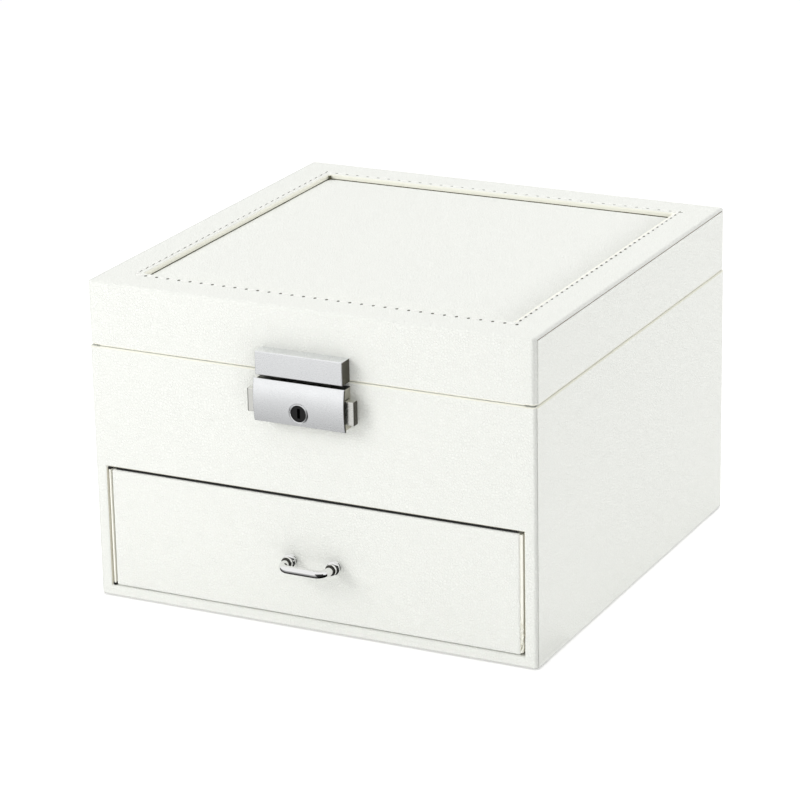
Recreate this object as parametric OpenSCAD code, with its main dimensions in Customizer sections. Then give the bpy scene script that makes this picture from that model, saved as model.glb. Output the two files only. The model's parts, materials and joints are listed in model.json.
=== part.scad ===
// Square ring box in white leathercloth: a hinged lid with a padded top over a ring tray,
// and a drawer below. Millimetres, +Z up, front towards -Y, origin at the centre of the underside.

/* [Box] */
// Outside width, left to right
box_w = 175; // [160:1:220]
// Outside depth, front to back
box_d = 174; // [160:1:220]
// Height of the case rim
case_h = 96.2; // [92:0.1:115]
// Height of the lid
lid_h = 23.9; // [21:0.1:32]
// Seam between the case rim and the closed lid
seam_gap = 0.4; // [0.3:0.05:0.6]

/* [Boards and coverings] */
// Thickness of the wall boards
wall_t = 3.5; // [3:0.1:4.5]
// Thickness of the base board and the shelf
floor_t = 2.5; // [2:0.1:3.5]
// Thickness of the two boards in the lid's top
lid_board_t = 3; // [2.5:0.1:3.5]
// Thickness of the leathercloth skins
skin_t = 0.8; // [0.6:0.05:1]
// Thickness of the sheet under the base
sheet_t = 0.5; // [0.3:0.1:1]
// Thickness of the velvet linings
lining_t = 1; // [0.8:0.1:1.5]
// How far the skins turn in past a rim
turn_in = 8; // [5:0.5:10]
// How far the skins turn in under the base
base_turn = 10; // [6:0.5:14]
// Radius of the wrapped vertical edges
corner_r = 1.4; // [0.8:0.1:2]
// Radius of the wrapped edges on top of the lid
top_r = 1.2; // [0.8:0.1:2]
// Radius of the edges at the seam and under the base
rim_r = 0.5; // [0.3:0.1:0.7]

/* [Lid top] */
// Width of the stitched border
border_w = 15; // [10:0.5:25]
// Corner radius of the window in the border
window_r = 1.5; // [1:0.1:4]
// Gap round the padded panel
pad_gap = 0.3; // [0.2:0.05:0.6]
// How deep the padded panel's edge lies below the border
pad_edge_drop = 1.6; // [1:0.1:2.4]
// How far the padded panel's crown stands over its edge
pad_crown = 1.7; // [0.8:0.1:2.4]
// Width of the rolled edge round the padded panel
pad_roll = 14; // [8:0.5:20]

/* [Inside of the lid] */
// Width of the mirror glass
mirror_w = 118; // [80:1:130]
// Height of the mirror glass
mirror_d = 96; // [70:1:130]
// Thickness of the mirror glass
mirror_t = 2; // [1.5:0.1:3]
// Width of the frame round the mirror
frame_w = 7; // [4:0.5:10]
// Thickness of the frame round the mirror
frame_t = 3; // [2.5:0.1:4]

/* [Drawer] */
// Height of the drawer opening
bay_h = 46; // [40:0.5:50]
// Gap at each side of the drawer front
front_side_gap = 1.6; // [0.8:0.1:2]
// Gap above the drawer front
front_top_gap = 0.8; // [0.4:0.1:1.5]
// Running gap under the drawer
slide_gap = 0.3; // [0.2:0.05:0.5]
// Gap behind the drawer when it is shut
back_gap = 0.4; // [0.3:0.1:0.9]
// How far the drawer front lies back from the case front
front_inset = 0.4; // [0:0.1:1]
// Thickness of the drawer's sides, back and bottom
drawer_t = 2.6; // [2:0.1:3.5]
// Height of the drawer's sides
drawer_side_h = 37; // [25:0.5:40]

/* [Handle] */
// Distance between the handle's two posts
handle_span = 17.5; // [14:0.5:32]
// From the drawer front to the middle of the bar
handle_reach = 10; // [8:0.5:14]
// Diameter of the handle's rod
rod_d = 3; // [2.4:0.1:3.6]
// Bend radius of the handle's rod, at its middle
bend_r = 3.6; // [3:0.1:5]
// Height of the handle above the table
handle_z = 26.6; // [20:0.1:30]
// How far the handle sits to the right of the middle
handle_shift = 1; // [-3:0.5:3]
// Diameter of the widest ring on a handle post
collar_d = 5; // [4.4:0.1:7]
// Length of the rings on a handle post
collar_l = 5.4; // [4:0.1:6]

/* [Ring tray and dividers] */
// Number of ring rolls
roll_count = 8; // [4:1:9]
// Width of one ring roll
roll_w = 12; // [10:0.5:12.5]
// Slit between two ring rolls
roll_slit = 0.5; // [0.3:0.1:1]
// Height of the ring rolls
roll_h = 22; // [16:0.5:26]
// Thickness of the velvet-covered dividers
divider_t = 3; // [2:0.1:4]
// Height of the tray's dividers
tray_divider_h = 26; // [18:0.5:30]
// Number of compartments on the right of the tray
tray_bays = 3; // [2:1:4]
// Height of the drawer's dividers
drawer_divider_h = 26; // [18:0.5:30]
// Number of compartments on the right of the drawer
drawer_bays = 3; // [2:1:4]

/* [Hinges] */
// Distance between the two hinges
hinge_span = 104; // [70:1:120]
// Length of one hinge
hinge_l = 21; // [15:0.5:27]
// Radius of the hinge barrel
barrel_r = 1.6; // [1.4:0.1:2]
// Radius of the hinge pin
pin_r = 0.8; // [0.6:0.05:1]
// Clearance of the pin in the barrel
pin_gap = 0.05; // [0.02:0.01:0.09]
// Gap between the barrel's knuckles
knuckle_gap = 0.2; // [0.1:0.05:0.4]
// Thickness of the hinge leaves
leaf_t = 0.5; // [0.4:0.05:0.6]
// Distance between the two screws of a leaf
leaf_screw_span = 13; // [9:0.5:14]

/* [Lock] */
// Width of the lock's cover
lock_w = 35.8; // [34:0.1:40]
// Height of the lock's cover
lock_h = 15.9; // [15.5:0.1:18]
// Gap between the strike block and the lock's cover
lock_gap = 1.1; // [0.8:0.1:1.5]
// How far the lock's cover stands out at its edges
lock_out = 5.6; // [5.5:0.1:6.5]
// How much further its middle bulges
cover_bulge = 0.8; // [0.4:0.1:1.2]
// Thickness of the cover at its edges
cover_t = 0.8; // [0.6:0.1:1]
// How far the cover overhangs the lock case at each side
cover_lip = 0.7; // [0.4:0.1:1]
// Wall of the lock case
lock_wall = 0.8; // [0.6:0.1:1]
// Width of the strike block
strike_w = 34.2; // [30:0.1:38]
// Height of the strike block
strike_h = 8.3; // [7.8:0.1:11]
// How far the strike block stands out
strike_out = 5.5; // [5:0.1:6.5]
// From the strike block's end to its screw
strike_screw_end = 3.2; // [2:0.1:4]
// From the strike block's underside to its screws
strike_screw_up = 6.2; // [5.8:0.1:6.6]
// How far the screws reach into the strike block
strike_screw_in = 3; // [2:0.1:3.5]

/* [Lock works] */
// How far a side button travels
button_travel = 1.6; // [1:0.1:1.8]
// How far a side button stands out from the cover
button_out = 3; // [2:0.1:4]
// Height of a side button
button_h = 8.6; // [7:0.1:9]
// Thickness of the slider's plate and of the keeper
plate_t = 0.9; // [0.7:0.05:1]
// Running gap of the lock's moving pieces
works_gap = 0.25; // [0.15:0.05:0.3]
// Wire thickness of the lock's springs
wire_d = 0.35; // [0.25:0.05:0.4]
// Outside diameter of the lock's springs
spring_d = 2.2; // [1.8:0.1:2.4]
// Turns of one spring
spring_turns = 5; // [3:1:6]
// How far the keeper's legs reach below the rim
keeper_drop = 9.6; // [9.2:0.1:10]
// How far the keeper reaches up into the strike block
keeper_seat = 4.6; // [3.5:0.1:5]
// From the middle of the lock to the near edge of a keeper leg
keeper_leg_x = 8; // [7.6:0.1:8.4]
// Width of a keeper leg
keeper_leg_w = 3.4; // [2.8:0.1:3.6]
// Height of the notch in a keeper leg
notch_h = 3; // [2.6:0.1:3.2]
// Depth of the notch in a keeper leg
notch_deep = 1.2; // [0.8:0.1:1.6]
// From the rim down to the middle of the key plug
plug_drop = 12; // [11.6:0.1:12.4]
// Radius of the key plug
plug_r = 3; // [2.6:0.1:3.2]
// Width of the bezel round the key plug
bezel_w = 0.45; // [0.3:0.05:0.6]
// Radius of the small screws' shanks
screw_r = 0.55; // [0.4:0.05:0.7]
// Radius of the small screws' heads
head_r = 1.1; // [1:0.05:1.3]

/* [Hidden] */

// Overshoot of a cut past the face that it opens
over = 1;
// Facets of true round faces
round_fn = 48;
// Steps of a rounded corner in an outline
arc_steps = 6;

// Case: outer faces, then the boards' faces under the skins
half_w = box_w / 2;
half_d = box_d / 2;
board_x = half_w - skin_t;
board_y = half_d - skin_t;
inner_x = board_x - wall_t;
inner_y = board_y - wall_t;
base_z = sheet_t + skin_t;
bay_z = base_z + floor_t + skin_t;
bay_top = bay_z + bay_h;
bay_x = inner_x - skin_t;
shelf_z = bay_top + skin_t;
board_top = case_h - skin_t;
tray_z = shelf_z + floor_t + lining_t;
tray_x = inner_x - lining_t;
tray_y = inner_y - lining_t;

// Lid
lid_z = case_h + seam_gap;
lid_top = lid_z + lid_h;
rail_z = lid_z + skin_t;
border_z = lid_top - skin_t - lid_board_t;
top_board_z = border_z - lid_board_t;
ceiling_z = top_board_z - lining_t;
window_x = half_w - border_w;
window_y = half_d - border_w;

// Drawer
front_y = -half_d + front_inset;
front_x = bay_x - front_side_gap;
front_board_y = front_y + skin_t;
front_back_y = front_board_y + wall_t + skin_t;
drawer_z = bay_z + slide_gap;
front_top = bay_top - front_top_gap;
drawer_x = front_x;
drawer_y = inner_y - skin_t - back_gap;
drawer_side_z = drawer_z + drawer_t;
drawer_side_top = drawer_side_z + drawer_side_h;
hold_x = drawer_x - drawer_t - lining_t;
hold_y0 = front_back_y + lining_t;
hold_y1 = drawer_y - drawer_t - lining_t;
hold_z = drawer_side_z + lining_t;

// Hinges: the pin's axis lies at the seam, just behind the back
barrel_back = 0.15;
pin_y = half_d + barrel_r + barrel_back;
pin_z = case_h + seam_gap / 2;
leaf_gap = 0.1;
leaf_inset = 0.3;
knuckle_l = (hinge_l - 2 * knuckle_gap) / 3;
leaf_screw_y = board_y - wall_t / 2;
leaf_y0 = inner_y + leaf_inset;
leaf_screw_l = 7;
leaf_screw_xs = [for (side = [-1, 1], end = [-1, 1])
    side * hinge_span / 2 + end * leaf_screw_span / 2];

// Lock, counted outwards from the front skin
lock_top = case_h - lock_gap;
lock_z = lock_top - lock_h;
lock_x = lock_w / 2 - cover_lip;
// How far the cover overhangs the lock case above and below
cover_lip_z = 0.4;
lock_case_top = lock_top - cover_lip_z;
lock_case_z = lock_z + cover_lip_z;
cover_in = lock_out - cover_t;
slider_in = lock_wall + works_gap;
slider_out = slider_in + plate_t;
keeper_in = slider_out + works_gap;
keeper_out = keeper_in + plate_t;
// How far a button lies below the cover's middle, behind the cover, and inside the case's side when pressed
button_low = 0.9;
button_back = 0.2;
button_root = 1;
button_z0 = lock_z + (lock_h - button_h) / 2 - button_low;
button_z1 = button_z0 + button_h;
button_face = cover_in - button_back;
button_x0 = lock_x - lock_wall - button_travel - button_root;
button_x1 = lock_w / 2 + button_out;
keeper_x0 = keeper_leg_x;
keeper_x1 = keeper_x0 + keeper_leg_w;
keeper_z0 = case_h - keeper_drop;
keeper_top = lid_z + keeper_seat;
// Height of a keeper leg's toe below its notch
keeper_toe = 2;
notch_z0 = keeper_z0 + keeper_toe;
notch_z1 = notch_z0 + notch_h;
hook_x1 = keeper_x0 - works_gap;
// Width of a latch hook
hook_w = 2.4;
hook_x0 = hook_x1 - hook_w;
hook_z1 = notch_z1 - works_gap;
hook_z0 = notch_z0 + works_gap;
slider_z1 = hook_z1;
// From the lock's middle to a slider's arm, and half the arm's height
arm_x0 = 4.4;
arm_half_h = 1.3;
// Half the width of the post between the springs, and how far it reaches below them
post_x = 1.1;
post_end = 0.2;
spring_z = (hook_z0 + hook_z1) / 2;
spring_y = (slider_in + keeper_out) / 2;
plug_z = case_h - plug_drop;
// Running gaps of the plug in its bezel and of the cam between the arms
plug_gap = 0.05;
cam_gap = 0.2;
bezel_r = plug_r + plug_gap + bezel_w;
cam_half = arm_x0 - button_travel - cam_gap;
// Half the side of the square that turns the cam, and the plug's gap to the sliders' plane
cam_square = 0.7;
plug_back = 0.2;
arm_z1 = plug_z + arm_half_h;
arm_z0 = plug_z - arm_half_h;
// Bosses of the lock's screws: from the case's inner side, their wall, their length, and how far one runs into the top
boss_in = 1.9;
boss_wall = 0.6;
boss_l = 2;
boss_sunk = 0.1;
// Depth of the screws' bores past the lock case's wall, and what their tips leave free
boss_bore = 1.6;
screw_end_gap = 0.2;
lock_screw_x = lock_x - lock_wall - boss_in;
boss_r = screw_r + boss_wall;
lock_screw_z = lock_case_top - lock_wall - boss_r + boss_sunk;
strike_screw_x = strike_w / 2 - strike_screw_end;
strike_screw_z = lid_z + strike_screw_up;
bore_gap = 0.05;
head_t = 0.7;

// Handle
handle_xs = [handle_shift - handle_span / 2, handle_shift + handle_span / 2];
handle_screw_r = 0.9;
handle_head_r = 1.9;
handle_screw_deep = 4;
handle_screw_gap = 0.3;

// Colours as the photograph shows them
leather = [0.94, 0.94, 0.92];
leather_top = [0.95, 0.95, 0.93];
raw_board = [0.72, 0.6, 0.45];
velvet = [0.9, 0.87, 0.82];
nickel = [0.78, 0.78, 0.77];
chrome = [0.86, 0.86, 0.86];

// ---------- shapes that repeat ----------

// A block from its lowest to its highest corner
module span(lo, hi) {
    translate(lo) cube([hi[0] - lo[0], hi[1] - lo[1], hi[2] - lo[2]]);
}

// Points of a quarter circle that starts at angle from
function quarter(centre, r, from) = r == 0 ? [centre] :
    [for (i = [0:arc_steps])
        centre + r * [cos(from + 90 * i / arc_steps), sin(from + 90 * i / arc_steps)]];

// Outline of a rectangle with one radius on its low corners and one on its high ones
function rounded(lo, hi, r_low, r_high) = concat(
    quarter([lo[0] + r_low, lo[1] + r_low], r_low, 180),
    quarter([hi[0] - r_low, lo[1] + r_low], r_low, 270),
    quarter([hi[0] - r_high, hi[1] - r_high], r_high, 0),
    quarter([lo[0] + r_high, hi[1] - r_high], r_high, 90));

// A block whose upright, top and bottom edges are rounded
module soft_block(lo, hi, upright_r, top_r, bottom_r) {
    intersection() {
        translate([0, 0, lo[2]])
            linear_extrude(hi[2] - lo[2])
                polygon(rounded([lo[0], lo[1]], [hi[0], hi[1]], upright_r, upright_r));
        translate([0, hi[1], 0])
            rotate([90, 0, 0])
                linear_extrude(hi[1] - lo[1])
                    polygon(rounded([lo[0], lo[2]], [hi[0], hi[2]], bottom_r, top_r));
        translate([lo[0], 0, 0])
            rotate([90, 0, 90])
                linear_extrude(hi[0] - lo[0])
                    polygon(rounded([lo[1], lo[2]], [hi[1], hi[2]], bottom_r, top_r));
    }
}

// A rod along -Y that starts at a point on the box
module rod_out(x, y, z, r, length) {
    translate([x, y, z]) rotate([90, 0, 0]) cylinder(h = length, r = r, $fn = round_fn);
}

// A rod upwards
module rod_up(x, y, z, r, length) {
    translate([x, y, z]) cylinder(h = length, r = r, $fn = round_fn);
}

// Both hands of a shape that is drawn on the right
module both_sides() {
    children();
    mirror([1, 0, 0]) children();
}

// ---------- case boards ----------

module base_board() {
    color(raw_board) span([-inner_x, -board_y, base_z], [inner_x, inner_y, base_z + floor_t]);
}

module side_board() {
    color(raw_board) span([inner_x, -board_y, base_z], [board_x, board_y, board_top]);
}

module right_board() {
    side_board();
}

module left_board() {
    mirror([1, 0, 0]) side_board();
}

module back_board() {
    color(raw_board)
        difference() {
            span([-inner_x, inner_y, base_z], [inner_x, board_y, board_top]);
            for (x = leaf_screw_xs)
                rod_up(x, leaf_screw_y, board_top - leaf_screw_l, screw_r + bore_gap, leaf_screw_l + over);
        }
}

module front_board() {
    color(raw_board)
        difference() {
            span([-inner_x, -board_y, shelf_z], [inner_x, -inner_y, board_top]);
            for (side = [-1, 1]) {
                rod_out(side * lock_screw_x, -inner_y + over, lock_screw_z, screw_r + bore_gap, wall_t + 2 * over);
                rod_out(side * lock_screw_x, -inner_y + over, lock_screw_z, head_r + bore_gap, head_t + over);
            }
        }
}

module shelf_board() {
    color(raw_board) span([-inner_x, -inner_y, shelf_z], [inner_x, inner_y, shelf_z + floor_t]);
}

// ---------- case skins ----------

// The case's outside with its wrapped edges
module case_outline() {
    soft_block([-half_w, -half_d, sheet_t], [half_w, half_d, case_h], corner_r, rim_r, rim_r);
}

// A sheet on the front: over the rim and down inside, and under the base
module case_end_sheet() {
    turned_x = inner_x - skin_t;
    span([-board_x, -half_d, sheet_t], [board_x, -board_y, case_h]);
    span([-board_x, -board_y, board_top], [board_x, -inner_y, case_h]);
    span([-turned_x, -inner_y, board_top - turn_in], [turned_x, -inner_y + skin_t, case_h]);
    span([-board_x, -board_y, sheet_t], [board_x, -board_y + base_turn, base_z]);
}

module front_skin() {
    color(leather)
        intersection() {
            case_outline();
            difference() {
                case_end_sheet();
                span([-bay_x, -half_d - over, bay_z], [bay_x, -board_y + over, bay_top]);
                for (side = [-1, 1])
                    rod_out(side * lock_screw_x, -board_y + over / 2, lock_screw_z,
                        screw_r + bore_gap, skin_t + over);
            }
            span([-half_w, -half_d, 0], [half_w, 0, case_h + over]);
        }
}

module back_skin() {
    color(leather)
        intersection() {
            case_outline();
            difference() {
                mirror([0, 1, 0]) case_end_sheet();
                for (side = [-1, 1])
                    span([side * hinge_span / 2 - hinge_l / 2 - bore_gap, leaf_y0 - bore_gap, pin_z - leaf_gap - leaf_t],
                        [side * hinge_span / 2 + hinge_l / 2 + bore_gap, half_d + over, case_h + over]);
                for (x = leaf_screw_xs)
                    rod_up(x, leaf_screw_y, board_top - over, screw_r + bore_gap, skin_t + 2 * over);
            }
        }
}

module side_skin() {
    color(leather)
        intersection() {
            case_outline();
            union() {
                span([board_x, -half_d, sheet_t], [half_w, half_d, case_h]);
                span([inner_x, -inner_y, board_top], [board_x, inner_y, case_h]);
                span([inner_x - skin_t, -inner_y, board_top - turn_in], [inner_x, inner_y, case_h]);
                span([board_x - base_turn, -board_y + base_turn, sheet_t],
                    [board_x, board_y - base_turn, base_z]);
            }
        }
}

module right_skin() {
    side_skin();
}

module left_skin() {
    mirror([1, 0, 0]) side_skin();
}

// The underside's sheet, with the card that fills the space inside the turned-in skins
module base_sheet() {
    margin = 2;
    card_x = board_x - base_turn;
    card_y = board_y - base_turn;
    color(leather)
        union() {
            span([-half_w + margin, -half_d + margin, 0], [half_w - margin, half_d - margin, sheet_t]);
            span([-card_x, -card_y, sheet_t], [card_x, card_y, base_z]);
        }
}

module bay_lining() {
    color(leather)
        difference() {
            span([-inner_x, -board_y, base_z + floor_t], [inner_x, inner_y, shelf_z]);
            span([-bay_x, -board_y - over, bay_z], [bay_x, inner_y - skin_t, bay_top]);
        }
}

// ---------- tray ----------

module tray_lining() {
    color(velvet)
        difference() {
            span([-inner_x, -inner_y, shelf_z + floor_t], [inner_x, inner_y, board_top - turn_in]);
            span([-tray_x, -tray_y, tray_z], [tray_x, tray_y, case_h]);
        }
}

// The long divider leaves the ring rolls' side and the compartments' side the same width
module tray_divider() {
    color(velvet)
        span([-divider_t / 2, -tray_y, tray_z], [divider_t / 2, tray_y, tray_z + tray_divider_h]);
}

// The rolls fill the front of the left side, up to the cross divider
roll_pitch = roll_w + roll_slit;
rolls_end = -tray_y + roll_count * roll_pitch + roll_slit;

// Middle lines of the cross dividers that split a length into even bays
function divider_lines(from, to, bays) = [for (i = [1:bays - 1]) from + (to - from) * i / bays];

module tray_cross_dividers() {
    color(velvet) {
        span([-tray_x, rolls_end, tray_z], [-divider_t / 2, rolls_end + divider_t, tray_z + tray_divider_h]);
        for (y = divider_lines(-tray_y, tray_y, tray_bays))
            span([divider_t / 2, y - divider_t / 2, tray_z], [tray_x, y + divider_t / 2, tray_z + tray_divider_h]);
    }
}

// One padded roll: a foam strip with a round back and rolled ends
module ring_roll(length) {
    r = roll_w / 2;
    end_r = 2.5;
    translate([0, 0, -roll_h])
        intersection() {
            rotate([90, 0, 90])
                linear_extrude(length)
                    union() {
                        translate([0, roll_h - r]) circle(r = r, $fn = round_fn);
                        translate([-r, 0]) square([roll_w, roll_h - r]);
                    }
            translate([0, r, 0])
                rotate([90, 0, 0])
                    linear_extrude(roll_w)
                        polygon(rounded([0, 0], [length, roll_h], 0, end_r));
        }
}

module ring_rolls() {
    roll_l = tray_x - divider_t / 2 - 2 * roll_slit;
    color(velvet)
        for (i = [0:roll_count - 1])
            translate([-tray_x + roll_slit, -tray_y + roll_slit + roll_w / 2 + i * roll_pitch, tray_z + roll_h])
                ring_roll(roll_l);
}

// ---------- hinges ----------

// Which third of the barrel a knuckle fills, from -1 to 1
module knuckle(third) {
    translate([third * (knuckle_l + knuckle_gap) - knuckle_l / 2, pin_y, pin_z])
        rotate([0, 90, 0])
            cylinder(h = knuckle_l, r = barrel_r, $fn = round_fn);
}

// A leaf in the seam with its knuckles; z0 is its lower face
module leaf(thirds, z0) {
    difference() {
        union() {
            span([-hinge_l / 2, leaf_y0, z0], [hinge_l / 2, half_d, z0 + leaf_t]);
            for (third = thirds) {
                knuckle(third);
                span([third * (knuckle_l + knuckle_gap) - knuckle_l / 2, half_d, z0],
                    [third * (knuckle_l + knuckle_gap) + knuckle_l / 2, pin_y, z0 + leaf_t]);
            }
        }
        translate([-hinge_l, pin_y, pin_z])
            rotate([0, 90, 0])
                cylinder(h = 2 * hinge_l, r = pin_r + pin_gap, $fn = round_fn);
        for (end = [-1, 1])
            rod_up(end * leaf_screw_span / 2, leaf_screw_y, z0 - over, screw_r + bore_gap, leaf_t + 2 * over);
    }
}

module case_hinge_leaves() {
    color(nickel)
        for (side = [-1, 1])
            translate([side * hinge_span / 2, 0, 0]) leaf([-1, 1], pin_z - leaf_gap - leaf_t);
}

module lid_hinge_leaves() {
    color(nickel)
        for (side = [-1, 1])
            translate([side * hinge_span / 2, 0, 0]) leaf([0], pin_z + leaf_gap);
}

module hinge_pins() {
    color(nickel)
        for (side = [-1, 1])
            translate([side * hinge_span / 2 - hinge_l / 2, pin_y, pin_z])
                rotate([0, 90, 0])
                    cylinder(h = hinge_l, r = pin_r, $fn = round_fn);
}

// The screws' flat heads finish flush with the leaf, so only the shank shows below it
module case_hinge_screws() {
    color(nickel)
        for (x = leaf_screw_xs)
            rod_up(x, leaf_screw_y, pin_z - leaf_gap - leaf_screw_l, screw_r, leaf_screw_l);
}

module lid_hinge_screws() {
    color(nickel)
        for (x = leaf_screw_xs)
            rod_up(x, leaf_screw_y, pin_z + leaf_gap, screw_r, leaf_screw_l);
}

// ---------- lock ----------

// A block of the lock: depths are counted outwards from the front skin
module lock_block(x0, x1, in, out, z0, z1) {
    span([x0, -half_d - out, z0], [x1, -half_d - in, z1]);
}

module lock_case() {
    color(nickel)
        difference() {
            union() {
                difference() {
                    lock_block(-lock_x, lock_x, 0, cover_in, lock_case_z, lock_case_top);
                    lock_block(-lock_x + lock_wall, lock_x - lock_wall, lock_wall, cover_in + over,
                        lock_case_z + lock_wall, lock_case_top - lock_wall);
                }
                // the post between the two springs
                lock_block(-post_x, post_x, lock_wall, keeper_out, spring_z - spring_d / 2 - post_end,
                    lock_case_top - lock_wall);
                for (side = [-1, 1])
                    rod_out(side * lock_screw_x, -half_d, lock_screw_z, boss_r, lock_wall + boss_l);
            }
            for (side = [-1, 1])
                rod_out(side * lock_screw_x, -half_d + over, lock_screw_z, screw_r + bore_gap, lock_wall + boss_bore + over);
            both_sides() {
                // the button's window in the side wall
                lock_block(lock_x - lock_wall - over, lock_x + over, slider_in - works_gap, cover_in + over,
                    button_z0 - works_gap, button_z1 + works_gap);
                // the keeper's slot in the top wall
                lock_block(keeper_x0 - 2 * works_gap, keeper_x1 + 2 * works_gap, keeper_in - works_gap / 2,
                    keeper_out + 2 * works_gap, lock_case_top - lock_wall - over, lock_case_top + over);
            }
        }
}

// Outline of the cover in depth and height: flat behind, bulged in front
function bulge(t) = cover_bulge * (1 - pow(2 * t - 1, 2));
cover_steps = 14;
cover_profile = concat(
    [[-half_d - cover_in, lock_top], [-half_d - cover_in, lock_z]],
    [for (i = [0:cover_steps])
        [-half_d - lock_out - bulge(i / cover_steps), lock_z + lock_h * i / cover_steps]]);

module lock_cover() {
    color(nickel)
        difference() {
            translate([-lock_w / 2, 0, 0])
                rotate([90, 0, 90])
                    linear_extrude(lock_w)
                        polygon(cover_profile);
            rod_out(0, -half_d - cover_in + over, plug_z, bezel_r, cover_t + cover_bulge + 2 * over);
        }
}

module key_bezel() {
    proud = 0.15;
    bezel_out = lock_out + cover_bulge + proud;
    color(chrome)
        difference() {
            rod_out(0, -half_d - cover_in, plug_z, bezel_r, bezel_out - cover_in);
            rod_out(0, -half_d, plug_z, plug_r + plug_gap, bezel_out + over);
        }
}

// The key plug, with a straight slot for the key; it carries the cam on a square
module key_plug() {
    sunk = 0.25;
    plug_out = lock_out + cover_bulge - sunk;
    slot_w = 1.1;
    slot_h = 3.6;
    slot_in = 1;
    color(nickel)
        difference() {
            union() {
                rod_out(0, -half_d - slider_out - plug_back, plug_z, plug_r, plug_out - slider_out - plug_back);
                lock_block(-cam_square, cam_square, slider_in, slider_out + plug_back, plug_z - cam_square, plug_z + cam_square);
            }
            lock_block(-slot_w / 2, slot_w / 2, cover_in - slot_in, plug_out + over, plug_z - slot_h / 2, plug_z + slot_h / 2);
        }
}

// The cam behind the plug: upright when the lock is open, across when it is shut
module lock_cam() {
    cam_w = 2.4;
    color(nickel)
        difference() {
            intersection() {
                lock_block(-cam_w / 2, cam_w / 2, slider_in, slider_out, plug_z - cam_half, plug_z + cam_half);
                rod_out(0, -half_d, plug_z, cam_half, cover_in);
            }
            lock_block(-cam_square, cam_square, 0, cover_in, plug_z - cam_square, plug_z + cam_square);
        }
}

// The right slider: button, plate, latch hook with its lead-in, and the arm that the cam stops
module slider() {
    lead = 0.8;
    color(nickel)
        union() {
            lock_block(button_x0, button_x1, slider_out, button_face, button_z0, button_z1);
            lock_block(hook_x0, lock_x - lock_wall, slider_in, slider_out, arm_z0, slider_z1);
            lock_block(arm_x0, hook_x0, slider_in, slider_out, arm_z0, arm_z1);
            translate([0, -half_d - slider_out, 0])
                rotate([90, 0, 0])
                    linear_extrude(keeper_out - slider_out)
                        polygon([[hook_x0, hook_z0], [hook_x1, hook_z0], [hook_x1, hook_z1 - lead],
                            [hook_x1 - lead, hook_z1], [hook_x0, hook_z1]]);
        }
}

module right_slider() {
    slider();
}

module left_slider() {
    mirror([1, 0, 0]) slider();
}

// Points of one ring of wire at turn t of the coil
wire_sides = 6;
ring_steps = 12;
coil_r = (spring_d - wire_d) / 2;
coil_x0 = post_x;
coil_l = hook_x0 - coil_x0;
coil_pitch = (coil_l - wire_d) / spring_turns;
coil_rings = spring_turns * ring_steps;
function coil_ring(i) = let (turn = 360 * i / ring_steps, x = coil_x0 + wire_d / 2 + coil_pitch * i / ring_steps)
    [for (s = [0:wire_sides - 1]) let (a = 360 * s / wire_sides, r = coil_r + wire_d / 2 * cos(a))
        [x + wire_d / 2 * sin(a), r * cos(turn), r * sin(turn)]];
coil_points = [for (i = [0:coil_rings], p = coil_ring(i)) p];
coil_faces = concat(
    [[for (s = [0:wire_sides - 1]) s]],
    [for (i = [0:coil_rings - 1], s = [0:wire_sides - 1]) let (n = (s + 1) % wire_sides)
        [i * wire_sides + s, (i + 1) * wire_sides + s, (i + 1) * wire_sides + n]],
    [for (i = [0:coil_rings - 1], s = [0:wire_sides - 1]) let (n = (s + 1) % wire_sides)
        [i * wire_sides + s, (i + 1) * wire_sides + n, i * wire_sides + n]],
    [[for (s = [wire_sides - 1:-1:0]) coil_rings * wire_sides + s]]);
echo(spring_least_gap = coil_pitch - wire_d);

module spring() {
    color(chrome)
        translate([0, -half_d - spring_y, spring_z])
            polyhedron(coil_points, coil_faces);
}

module right_spring() {
    spring();
}

module left_spring() {
    mirror([1, 0, 0]) spring();
}

module lock_screws() {
    color(nickel)
        for (side = [-1, 1]) {
            rod_out(side * lock_screw_x, -inner_y, lock_screw_z, head_r, head_t);
            rod_out(side * lock_screw_x, -inner_y, lock_screw_z, screw_r, wall_t + skin_t + lock_wall + boss_bore - screw_end_gap);
        }
}

// ---------- lid ----------

module lid_side_rail() {
    color(raw_board) span([inner_x, -inner_y, rail_z], [board_x, inner_y, top_board_z]);
}

module lid_right_rail() {
    lid_side_rail();
}

module lid_left_rail() {
    mirror([1, 0, 0]) lid_side_rail();
}

module lid_front_rail() {
    color(raw_board)
        difference() {
            span([-board_x, -board_y, rail_z], [board_x, -inner_y, top_board_z]);
            for (side = [-1, 1]) {
                rod_out(side * strike_screw_x, -inner_y + over, strike_screw_z, screw_r + bore_gap, wall_t + 2 * over);
                rod_out(side * strike_screw_x, -inner_y + over, strike_screw_z, head_r + bore_gap, head_t + over);
            }
        }
}

module lid_back_rail() {
    color(raw_board)
        difference() {
            span([-board_x, inner_y, rail_z], [board_x, board_y, top_board_z]);
            for (x = leaf_screw_xs)
                rod_up(x, leaf_screw_y, rail_z - over, screw_r + bore_gap, leaf_screw_l + over);
        }
}

module lid_top_board() {
    color(raw_board) span([-board_x, -board_y, top_board_z], [board_x, board_y, border_z]);
}

// The window in the border, grown by a margin
module window(margin, z0, z1) {
    translate([0, 0, z0])
        linear_extrude(z1 - z0)
            polygon(rounded([-window_x - margin, -window_y - margin], [window_x + margin, window_y + margin],
                window_r + margin, window_r + margin));
}

module border_board() {
    color(raw_board)
        difference() {
            span([-board_x, -board_y, border_z], [board_x, board_y, lid_top - skin_t]);
            window(skin_t, border_z - over, lid_top + over);
        }
}

module lid_outline() {
    soft_block([-half_w, -half_d, lid_z], [half_w, half_d, lid_top], corner_r, top_r, rim_r);
}

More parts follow.
